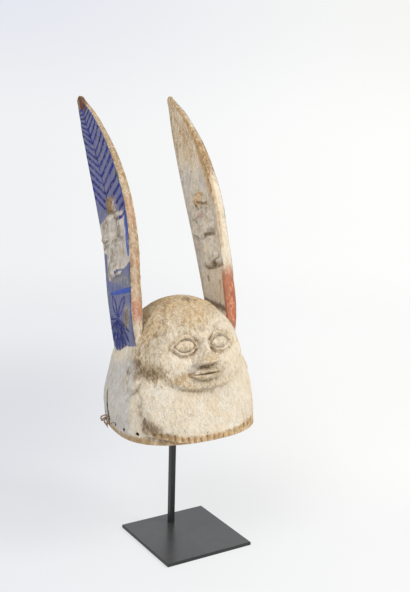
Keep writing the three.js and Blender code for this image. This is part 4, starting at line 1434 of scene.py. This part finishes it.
def wood_textures(b, place):
    """Noises, and fields of the surface, that the layers of the carved wood share"""
    upright = b.stretched(place, (1.0, 1.0, 0.5))
    mottle = b.use(MOTTLE, Place=upright, Broad_size=34.0, Fine_size=5.6)
    fibres = b.use(GRAIN, Place=place, Fibre_size=2.4, Length=9.0)
    crevice = b.field("crevice")
    return SimpleNamespace(
        place=place,
        broad=mottle["Broad"],
        fine=mottle["Fine"],
        grit=mottle["Grit"],
        rising=b.use(SCRATCHES, Place=place, Lean=0.55, Spacing=6.0, Length=7.0)["Scratch"],
        falling=b.use(SCRATCHES, Place=place, Lean=-0.8, Spacing=7.0, Length=6.0)["Scratch"],
        warm=b.ramp(b.cloud(place, 26.0, 3.0, 0.5), 0.46, 0.7),
        streaks=b.ramp(b.cloud(b.stretched(place, (1.0, 1.0, 0.1)), 5.0, 4.0, 0.6), 0.4, 0.66),
        fibres=fibres,
        wood=b.blend(fibres["Shade"], paint(136, 106, 74), paint(184, 154, 114)),
        ridge=b.ramp(crevice, -0.12, -0.8),
        # how far each place lies in a hollow, for its dirt and painted shade
        valley=b.ramp(crevice, 0.22, 1.4),
    )


def chalk_ground(b, t):
    """Chalk, yellowed in broad patches, worn to tan and to bare wood"""
    cream = b.blend(t.broad, paint(238, 227, 208), paint(226, 207, 178))
    cream = b.coat(cream, paint(214, 191, 156), t.fine, 0.4)
    cream = b.coat(cream, paint(246, 241, 230), t.streaks, 0.45)
    cream = b.coat(cream, paint(230, 206, 166), t.warm, 0.4)
    cream = b.coat(cream, paint(176, 146, 108), b.ramp(t.grit, 0.5, 0.95), b.field("grit"), 0.5)
    thin = b.total((b.field("chalk"), -1.0), (t.fine, 0.45), (t.grit, 0.2), (t.ridge, 0.25), 0.42)
    colour = b.coat(cream, t.wood, b.ramp(thin, 0.05, 0.75), 0.7)
    tan = b.total((b.field("tan"), 0.85), (t.fine, 0.34), (t.grit, 0.16), (t.broad, 0.12))
    worked = b.total((t.fine, 0.55), (t.grit, 0.2), (t.rising, 0.2), (t.falling, 0.25))
    tans = b.blend(b.ramp(worked, 0.15, 0.95), paint(213, 190, 149), paint(147, 119, 82))
    colour = b.coat(colour, tans, b.ramp(tan, 0.34, 1.05), 0.85)
    scraped = b.maths("MAXIMUM", t.rising, b.times(t.falling, 0.6))
    return b.coat(colour, paint(246, 238, 222), scraped, b.ramp(t.broad, 0.4, 0.75), 0.5)


def washes(b, t, colour):
    """Grey wash down the sides, buff edges, white chalk with painted highlights and painted light, and ochre
    """
    grey = b.ramp(b.total((b.field("grey"), 0.9), (t.broad, 0.3), (t.fine, 0.15)), 0.3, 0.95)
    greys = b.blend(t.fine, paint(212, 209, 205), paint(188, 181, 171))
    greys = b.coat(greys, paint(218, 211, 196), t.streaks, 0.4)
    colour = b.coat(colour, greys, grey, 0.82)
    buffs = b.blend(b.total((t.fine, 0.6), (t.grit, 0.4)), paint(214, 188, 150), paint(188, 160, 124))
    colour = b.coat(colour, buffs, b.field("buff"), b.total((t.broad, 0.2), (t.grit, 0.1), 0.7))
    # white chalk; the same field carries the painted highlights on the figures and the hem, and the painted
    # light on the face's left side
    colour = b.coat(colour, paint(242, 227, 200), b.field("fresh"), b.ramp(t.fine, 1.2, 0.2))
    faded = b.field("ochre")
    ochre = b.total((faded, 0.9), (b.times(faded, t.fine), 0.5), (b.times(faded, t.grit), 0.3), -0.1)
    ochres = b.blend(t.fine, paint(220, 182, 126), paint(184, 142, 94))
    return b.coat(colour, ochres, b.ramp(ochre, 0.1, 1.0), 0.8)


def brown_stains(b, t, colour):
    # brown stains, together with the painted shadows on the figures and the painted shade at the left ear's
    # foot and in the hem's notches
    stain = b.field("brown")
    brown = b.total((stain, 0.95), (b.times(stain, t.fine), 0.5), (b.times(stain, t.falling), 0.25), -0.12)
    t.brown = b.ramp(brown, 0.0, 1.0)
    browns = b.blend(b.total((t.fine, 0.5), (t.grit, 0.5)), paint(136, 110, 80), paint(88, 66, 46))
    return b.coat(colour, browns, t.brown, 0.82)


def blue_paint(b, t, colour):
    """Slate ground, rubbed to olive grey between the deep blue lines, and the bright band"""
    line = b.field("line_mm")
    t.slate = b.ramp(b.total((b.field("slate"), 1.0), (t.fine, 0.24), (t.grit, 0.1), -0.17), 0.25, 0.75)
    slates = b.blend(b.total((t.broad, 0.5), (t.fine, 0.5)), paint(88, 98, 158), paint(126, 130, 162))
    uneven = b.ramp(b.total((t.fine, 0.4), (t.grit, 0.3), (t.streaks, 0.5)), 0.3, 1.1)
    rubbed = b.times(b.ramp(line, 0.3, 2.4), uneven)
    rubbed = b.maths("MAXIMUM", rubbed, b.times(b.field("worn"), b.ramp(t.fine, 0.9, 0.3)))
    olives = b.blend(t.fine, paint(162, 160, 146), paint(124, 123, 114))
    colour = b.coat(colour, b.coat(slates, olives, rubbed, 0.8), t.slate, 0.94)
    t.deep = b.use(COVER, Distance=line, Place=t.place, Wander=0.4, Soft=0.5)["Cover"]
    patchy = b.ramp(b.total((t.fine, 0.5), (t.grit, 0.5)), 0.25, 0.75)
    deeps = b.blend(patchy, paint(16, 17, 76), paint(32, 40, 164))
    leafy = b.times(b.ramp(b.field("leafy"), 0.2, 0.8), b.ramp(t.fine, 0.2, 0.8))
    deeps = b.coat(deeps, paint(88, 96, 104), leafy, 0.7)
    colour = b.coat(colour, deeps, t.deep, b.ramp(t.grit, -0.1, 0.35), 0.95)
    t.bright = b.use(COVER, Distance=b.field("bright_mm"), Place=t.place, Wander=0.6, Soft=0.5)["Cover"]
    brights = b.blend(t.fine, paint(60, 92, 194), paint(84, 106, 168))
    return b.coat(colour, brights, t.bright, b.ramp(t.grit, -0.3, 0.35), 0.94)


def red_edges(b, t, colour):
    faint = b.field("red")
    red = b.total((faint, 0.9), (b.times(faint, t.fine), 0.45), (b.times(faint, t.grit), 0.3), -0.1)
    patchy = b.ramp(b.total((t.fine, 0.7), (t.grit, 0.3)), 0.3, 0.8)
    reds = b.blend(patchy, paint(186, 88, 62), paint(221, 149, 110))
    colour = b.coat(colour, reds, b.ramp(red, 0.05, 1.0), 0.88)
    rust = b.ramp(b.total((b.field("rust"), 1.0), (t.fine, 0.4), -0.2), 0.3, 0.7)
    return b.coat(colour, b.blend(t.fine, paint(124, 66, 48), paint(92, 54, 42)), rust, 0.85)


def wear_and_dirt(b, t, colour):
    """Wear on the ridges, dirt and painted shade in the hollows, specks, worm holes, checks and dust"""
    t.rubbed_off = b.times(t.ridge, b.ramp(b.total((t.fine, 0.6), (t.grit, 0.4)), 0.35, 0.75))
    colour = b.coat(colour, paint(196, 166, 124), t.rubbed_off, 0.45)
    patchy = b.ramp(b.total((t.fine, 0.5), (t.grit, 0.5)), 0.1, 0.7)
    # the hollows darkened: dirt and painted shade, near black in the blue paint
    dirts = b.blend(t.slate, paint(142, 110, 74), paint(30, 29, 58))
    colour = b.coat(colour, dirts, t.valley, patchy, b.ramp(b.field("fresh"), 0.5, 0.1), 0.55)
    t.specks = b.use(PITS, Place=t.place, Spacing=5.0, Radius=0.2, Share=0.14)["Pit"]
    colour = b.coat(colour, paint(134, 106, 78), t.specks, 0.35)
    t.holes = b.use(PITS, Place=t.place, Spacing=12.0, Radius=0.09, Share=0.16)["Pit"]
    colour = b.coat(colour, paint(58, 42, 30), t.holes, 0.85)
    t.checks = b.times(t.fibres["Check"], b.ramp(t.broad, 0.45, 0.8))
    colour = b.coat(colour, paint(110, 88, 64), t.checks, 0.35)
    dust = b.use(DUST, Place=t.place, Amount=0.2)["Dust"]
    return b.blend(dust, colour, paint(206, 198, 184))


def bare_hollow(b, t, colour):
    """Darker bare wood inside the hollow, and painted shade, near black, on the walls of the rim holes and
    the split
    """
    inside = b.blend(0.35, t.wood, paint(92, 68, 46))
    colour = b.blend(b.ramp(b.field("hollow"), 0.2, 0.8), colour, inside)
    # painted shade in the bores
    return b.coat(colour, paint(38, 28, 21), b.field("bore"), 0.95)


def carved_wood():
    material, b, shader, place = new_material("carved_wood")
    t = wood_textures(b, place)
    colour = chalk_ground(b, t)
    for layer in (washes, brown_stains, blue_paint, red_edges, wear_and_dirt, bare_hollow):
        colour = layer(b, t, colour)
    b.feed(shader.inputs["Base Color"], colour)
    b.feed(shader.inputs["Roughness"], b.total((t.fine, 0.12), (t.grit, 0.06), (t.deep, -0.1), 0.72))
    shader.inputs["Specular IOR Level"].default_value = 0.28
    height = b.total(
        (t.fine, 0.45), (t.grit, 0.4), (t.streaks, 0.22), (t.fibres["Height"], 0.3), (t.holes, -1.2),
        (t.checks, -0.5), (t.specks, -0.35), (t.deep, -0.45), (t.bright, 0.1), (t.rubbed_off, -0.12),
        (t.brown, -0.25), (t.rising, -0.3), (t.falling, -0.3),
    )
    b.relief(shader, height, strength=0.8, depth=1.8)
    return material


PLATE_TOP = 6.0


def black_steel():
    """Black paint on steel, with a satin coat on the plate's top alone, and the top painted paler as a
    painted sheen
    """
    material, b, shader, place = new_material("black_steel")
    mottle = b.use(MOTTLE, Place=place, Broad_size=60.0, Fine_size=5.0)
    dust = b.use(DUST, Place=place, Amount=0.05)["Dust"]
    from_top = b.maths("ABSOLUTE", b.maths("SUBTRACT", b.parts(place)[2], PLATE_TOP))
    flat = b.ramp(from_top, 0.12, 0.04)
    colour = b.blend(mottle["Broad"], paint(34, 34, 34), paint(42, 42, 41))
    # the plate's top painted paler than its edges: painted sheen
    colour = b.coat(colour, paint(63, 63, 61), flat, b.total((mottle["Broad"], 0.2), 0.6))
    colour = b.coat(colour, paint(86, 85, 84), mottle["Grit"], 0.06)
    colour = b.blend(dust, colour, paint(150, 148, 144))
    b.feed(shader.inputs["Base Color"], colour)
    b.feed(shader.inputs["Roughness"], b.total((mottle["Fine"], 0.03), (dust, 0.3), (flat, -0.14), 0.42))
    b.feed(shader.inputs["Coat Weight"], flat)
    shader.inputs["Coat Roughness"].default_value = 0.27
    shader.inputs["Coat IOR"].default_value = 1.75
    shader.inputs["Specular IOR Level"].default_value = 0.5
    b.relief(shader, mottle["Grit"], strength=0.08, depth=0.2)
    return material


def plant_fibre():
    material, b, shader, place = new_material("fibre")
    mottle = b.use(MOTTLE, Place=place, Broad_size=9.0, Fine_size=1.6)
    colour = b.blend(mottle["Broad"], paint(158, 132, 112), paint(112, 84, 68))
    colour = b.coat(colour, paint(190, 168, 150), mottle["Fine"], 0.6)
    b.feed(shader.inputs["Base Color"], colour)
    b.feed(shader.inputs["Roughness"], b.total((mottle["Fine"], 0.1), 0.82))
    b.relief(shader, mottle["Fine"], strength=0.6, depth=0.4)
    return material


# Left and right shades of the floor, near the stand, behind it and far away: painted light and shade, darker
# on the left and lighter on the right
FLOOR_NEAR = (paint(233, 235, 238), paint(243, 244, 243))
FLOOR_MIDDLE = (paint(223, 225, 230), paint(252, 252, 250))
FLOOR_FAR = (paint(239, 240, 243), paint(254, 254, 253))
FLOOR_GLOW = 0.7
FLOOR_SHADE = 0.71
FLOOR_SIZE = 12
# distances from the stand, in millimetres
FLOOR_ACROSS = (-450.0, 350.0)
FLOOR_BEHIND = (0.0, 420.0)
FLOOR_AWAY = (600.0, 1400.0)
FLOOR_FADE = (2600.0, 700.0)
SIDEWAYS = (HEADING[1], -HEADING[0])


def studio_paper():
    """Pale floor that thins out far from the stand, so that no horizon shows. It glows as painted light to
    wash out the shadows on it.
    """
    material, b, shader, place = new_material("studio_paper")
    parts = b.parts(place)
    across = b.ramp(b.along(parts, SIDEWAYS), *FLOOR_ACROSS)
    onward = b.along(parts, HEADING)
    near, middle, far = (b.blend(across, *shades) for shades in (FLOOR_NEAR, FLOOR_MIDDLE, FLOOR_FAR))
    shade = b.blend(b.ramp(onward, *FLOOR_BEHIND), near, middle)
    shade = b.blend(b.ramp(onward, *FLOOR_AWAY), shade, far)
    # painted light: the floor's lit colour is cut to under a third, and its glow makes up the rest so that
    # shadows on it stay faint
    b.feed(shader.inputs["Base Color"], b.blend(FLOOR_SHADE, shade, paint(0, 0, 0)))
    b.feed(shader.inputs["Emission Color"], shade)
    shader.inputs["Emission Strength"].default_value = FLOOR_GLOW
    shader.inputs["Roughness"].default_value = 0.95
    shader.inputs["Specular IOR Level"].default_value = 0.1
    away = b.add("ShaderNodeVectorMath", operation="LENGTH")
    b.feed(away.inputs[0], place)
    b.feed(shader.inputs["Alpha"], b.ramp(away.outputs["Value"], *FLOOR_FADE))
    return material


# Head with its ears, joined and hollowed

painted = {"place": [], **{name: [] for name in FIELDS}}


def remember(points, fields, outward, steps):
    """Keep the paint of a skin, so that the joined mask can take it up again"""
    fields["crevice"] = crevices(points, grid_normals(points) * outward, steps)
    painted["place"].append(points.reshape(-1, 3))
    for name in FIELDS:
        painted[name].append(np.broadcast_to(fields[name], points.shape[:-1]).reshape(-1))


def make_helmet():
    points, angle, bare = outer_helmet()
    points = inside_box(points)
    points[:, -1] = points[:, 0]
    remember(points, helmet_paint(angle, bare), 1, (2, 4))
    return skin("mask_carved", points)


def make_ear(side, seed):
    points, fields = ear_skin(side, seed)
    cap = tip_rings(points)
    foot = np.broadcast_to(points[0].mean(0), points[0].shape)
    rings = inside_box(np.concatenate([foot[None], points, cap]))
    for name in FIELDS:
        field = np.broadcast_to(fields[name], points.shape[:-1])
        fields[name] = np.concatenate([field[:1], field, np.repeat(field[-1:], len(cap), 0)])
    remember(rings, fields, side, (2, 5))
    closed = np.concatenate([rings, rings[:, :1]], 1)
    return skin("ear", closed)


def cutter(angle, outline):
    """A tool pushed level through the wall at a rim hole, with an outline given across and up"""
    middle = helmet_point(np.array(angle), np.array(HOLE_Z))
    outward = helmet_normal(np.array(angle), np.array(HOLE_Z)) * (1, 1, 0)
    outward /= np.linalg.norm(outward)
    sideways = np.cross((0, 0, 1), outward)
    depths = (-1.7 * WALL, -1.7 * WALL, -12, -9, -6, -3.5, -1.5, 0, 0.8 * WALL, 0.8 * WALL)
    around = sideways * outline[:, :1] + np.array((0, 0, 1)) * outline[:, 1:]
    rings = np.stack([middle + outward * depth + around for depth in depths])
    for end in (0, -1):
        rings[end] = rings[end].mean(0)
    return skin("cutter", np.concatenate([rings, rings[:, :1]], 1))


def rim_hole(angle):
    turn = np.linspace(0, 2 * math.pi, 18, endpoint=False)
    size = 1.1 * HOLE_RADIUS * (1 + 0.08 * np.sin(2 * turn + 9 * angle))
    return cutter(angle, np.stack([size * np.cos(turn), size * np.sin(turn)], -1))


def hole_angles():
    """Angles of the rim holes on the mask's left; the right side mirrors them"""
    turn = 0.002
    angles = []
    angle = HOLE_START
    while angle < HOLE_END:
        angles.append(angle)
        step = HOLE_STEP * (2 if angle > HOLE_SPARSE else 1)
        while step > 0:
            ahead = helmet_point(np.array(angle + turn), np.array(HOLE_Z))
            here = helmet_point(np.array(angle), np.array(HOLE_Z))
            step -= float(np.linalg.norm(ahead - here))
            angle += turn
    return angles


def take_paint(piece):
    """Copy the remembered paint to the joined mesh, each vertex from the nearest point of a skin"""
    places = np.concatenate(painted["place"])
    tree = KDTree(len(places))
    for i, place in enumerate(places):
        tree.insert(place, i)
    tree.balance()
    near = np.empty(len(piece.data.vertices), int)
    far = np.empty(len(near))
    for i, vertex in enumerate(piece.data.vertices):
        _, near[i], far[i] = tree.find(vertex.co / MM)
    for name in FIELDS:
        values = np.concatenate(painted[name])[near]
        # the hollow and the bores are what was cut, so they lie away from every skin
        if name == "hollow":
            values = smoothstep(1.5, 4.0, far)
        # the walls of what was cut through the wall are painted near black as painted shade
        if name == "bore":
            values = smoothstep(0.5, 1.5, far) * smoothstep(12.0, 9.5, far)
        layer = piece.data.attributes.new(name, "FLOAT", "POINT")
        layer.data.foreach_set("value", values.astype(np.float32))


def split_tool():
    """A thin wedge that cuts the split up from the rim through a hole on the mask's right"""
    up = np.linspace(RIM_Z - HOLE_Z - 3, SPLIT_LENGTH, 15)
    lean = -SPLIT_LEAN * np.maximum(up, 0) + 0.7 * np.sin(0.31 * up)
    half = np.interp(up, (-8, -2, 12, SPLIT_LENGTH), (0.6, 1.4, SPLIT_HALF_WIDTH, 0.5))
    left = np.stack([lean - half, up], -1)
    right = np.stack([lean + half * (1 + 0.25 * np.sin(0.7 * up)), up], -1)
    return cutter(-hole_angles()[SPLIT_HOLE], np.concatenate([left, right[::-1]]))


mask = make_helmet()
carve(mask, make_ear(1, LEFT_EAR_SEED), "UNION")
carve(mask, make_ear(-1, RIGHT_EAR_SEED), "UNION")
hollow_points = inner_helmet()
hollow_points[:, -1] = hollow_points[:, 0]
carve(mask, skin("hollow", hollow_points), "DIFFERENCE")
for angle in hole_angles():
    carve(mask, rim_hole(angle), "DIFFERENCE")
    carve(mask, rim_hole(-angle), "DIFFERENCE")
carve(mask, split_tool(), "DIFFERENCE")
take_paint(mask)


# Ties: loosely twisted cords, knotted outside the rim on the mask's right

TIE_RADIUS = 1.15
TIE_EDGE = 60 * DEGREE
TIE_RINGS = 9
TIE_CORDS = (
    (((-107, 55, 215), (-117, 58, 215.5), (-121, 62, 219), (-124, 69, 216), (-125, 73, 212), (-125, 69, 210),
      (-124.5, 62, 211), (-123, 60, 215), (-120, 59, 216.5)), 1.0),
    (((-122, 59, 215), (-124, 63, 213), (-124, 66, 210.5)), 2.1),
    (((-123.8, 62, 214), (-124.6, 61, 210), (-124.6, 54, 207), (-123.8, 49, 202.5)), 1.25),
    (((-122, 59, 213), (-123.5, 52, 211), (-124, 49, 207.5), (-124.6, 51, 205)), 1.0),
    (((-124, 62, 212), (-124.8, 68, 208), (-125, 73, 208.5)), 0.8),
)
SHORT_CORDS = (
    (((-107, 28.5, 216), (-118, 29.6, 216), (-121.6, 33, 215.5), (-122.4, 38, 213.5),
      (-122.3, 42, 211)), 0.85),
)


def cord(path, thick, seed):
    """A cord of two twisted strands along a path, thinner and frayed towards its free end"""
    knots = np.arange(len(path))
    at = np.linspace(0, len(path) - 1, TIE_RINGS * (len(path) - 1) + 1)
    middle = np.stack([spline(knots, [place[k] for place in path], at) for k in range(3)], -1)
    middle = middle + 0.25 * np.stack([noise(middle, 4, seed + k) for k in range(3)], -1)
    ahead = np.gradient(middle, axis=0)
    ahead /= np.linalg.norm(ahead, axis=-1, keepdims=True)
    one = np.cross(ahead, (0.31, 0.2, 0.93))
    one /= np.linalg.norm(one, axis=-1, keepdims=True)
    two = np.cross(ahead, one)
    turn = np.linspace(0, 2 * math.pi, 15)
    size = TIE_RADIUS * thick * (1 - 0.4 * (at / at[-1]) ** 3)[:, None]
    size = size * (1 + 0.28 * np.cos(2 * (turn - 2.2 * at[:, None])))
    rings = middle[:, None] + one[:, None] * (size * np.cos(turn))[..., None]
    rings = rings + two[:, None] * (size * np.sin(turn))[..., None]
    ends = [np.broadcast_to(middle[k], rings[0].shape) for k in (0, -1)]
    rings = np.stack([ends[0], *rings, ends[1]])
    rings[..., 0] = np.maximum(rings[..., 0], packed_low[0] / MM + BOX_MARGIN)
    return skin("cord", rings)


def tie(name, cords, node):
    parts = [cord(path, thick, TIE_SEED + k) for k, (path, thick) in enumerate(cords)]
    only(*parts)
    if len(parts) > 1:
        bpy.ops.object.join()
    piece = bpy.context.object
    piece.name = piece.data.name = name
    piece.data.materials.clear()
    piece.data.materials.append(fibre_finish)
    bpy.ops.object.shade_smooth_by_angle(angle=TIE_EDGE)
    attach(piece, "root")
    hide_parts(node)


# Stand and finishes

wood_finish = carved_wood()
steel_finish = black_steel()
fibre_finish = plant_fibre()
mask.data.materials.clear()
mask.data.materials.append(wood_finish)
mask.data.polygons.foreach_set("material_index", [0] * len(mask.data.polygons))
only(mask)
bpy.ops.object.shade_smooth_by_angle(angle=WOOD_EDGE)
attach(mask, "root")
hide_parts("mask")
tie("knotted_tie", TIE_CORDS, "rim_tie")
tie("short_tie", SHORT_CORDS, "rim_tie_short")
for node in ("stand_plate", "stand_rod"):
    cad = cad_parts[node]
    cad.data.materials.clear()
    cad.data.materials.append(steel_finish)


# Floor, light and camera

only_nothing()
bpy.ops.mesh.primitive_plane_add(size=FLOOR_SIZE)
floor = bpy.context.object
floor.name = "floor"
floor.data.materials.append(studio_paper())

AMBIENT = (178, 180, 185)


def studio_world():
    """Even pale surroundings: bright where the camera sees them, softer as light on the mask"""
    world = bpy.data.worlds.new("studio")
    bpy.context.scene.world = world
    world.use_nodes = True
    b = Bench(world.node_tree)
    sight = b.parts(b.add("ShaderNodeTexCoord").outputs["Generated"])
    across = b.ramp(b.along(sight, SIDEWAYS), -0.22, 0.2)
    backdrop = b.blend(across, paint(241, 242, 243), paint(254, 254, 253))
    upper = b.blend(across, paint(229, 232, 240), paint(246, 247, 245))
    backdrop = b.blend(b.ramp(sight[2], -0.08, 0.07), backdrop, upper)
    seen = b.add("ShaderNodeLightPath").outputs["Is Camera Ray"]
    shown = world.node_tree.nodes["Background"]
    b.feed(shown.inputs["Color"], b.blend(seen, paint(*AMBIENT), backdrop))


studio_world()


def soft_light(name, place, target, size, power, colour):
    """A square area lamp that faces its target"""
    bpy.ops.object.light_add(type="AREA", location=place)
    lamp = bpy.context.object
    lamp.name = name
    lamp.data.size = size
    lamp.data.energy = power
    lamp.data.color = colour
    lamp.rotation_mode = "QUATERNION"
    lamp.rotation_quaternion = (Vector(target) - Vector(place)).to_track_quat("-Z", "Y")
    return lamp


key = soft_light("key", (1.6, -1.5, 2.0), (0, 0, 0.4), size=1.0, power=50, colour=(1, 0.975, 0.925))
# the plate would show the lamp as a white glare from behind
key.visible_glossy = False
soft_light("overhead", (-1.7, -0.6, 2.5), (0, 0, 0.45), size=1.6, power=40, colour=(0.98, 0.99, 1))

CAMERA_PLACE = Vector((-0.8063, -1.3319, 0.7871))
CAMERA_DROP = 13.2 * DEGREE
CAMERA_ROLL = 1.57 * DEGREE
CAMERA_SENSOR = 36
CAMERA_LENS = 60.4
CAMERA_REACH = 50
bpy.ops.object.camera_add(location=CAMERA_PLACE)
camera = bpy.context.object
camera.rotation_mode = "QUATERNION"
level = math.cos(CAMERA_DROP)
ahead = Vector((HEADING[0] * level, HEADING[1] * level, -math.sin(CAMERA_DROP)))
roll = Matrix.Rotation(CAMERA_ROLL, 4, "Z").to_quaternion()
camera.rotation_quaternion = ahead.to_track_quat("-Z", "Y") @ roll
camera.data.sensor_fit = "VERTICAL"
camera.data.sensor_width = camera.data.sensor_height = CAMERA_SENSOR
camera.data.lens = CAMERA_LENS
camera.data.clip_end = CAMERA_REACH
bpy.context.scene.camera = camera
bpy.context.scene.view_settings.view_transform = "Standard"
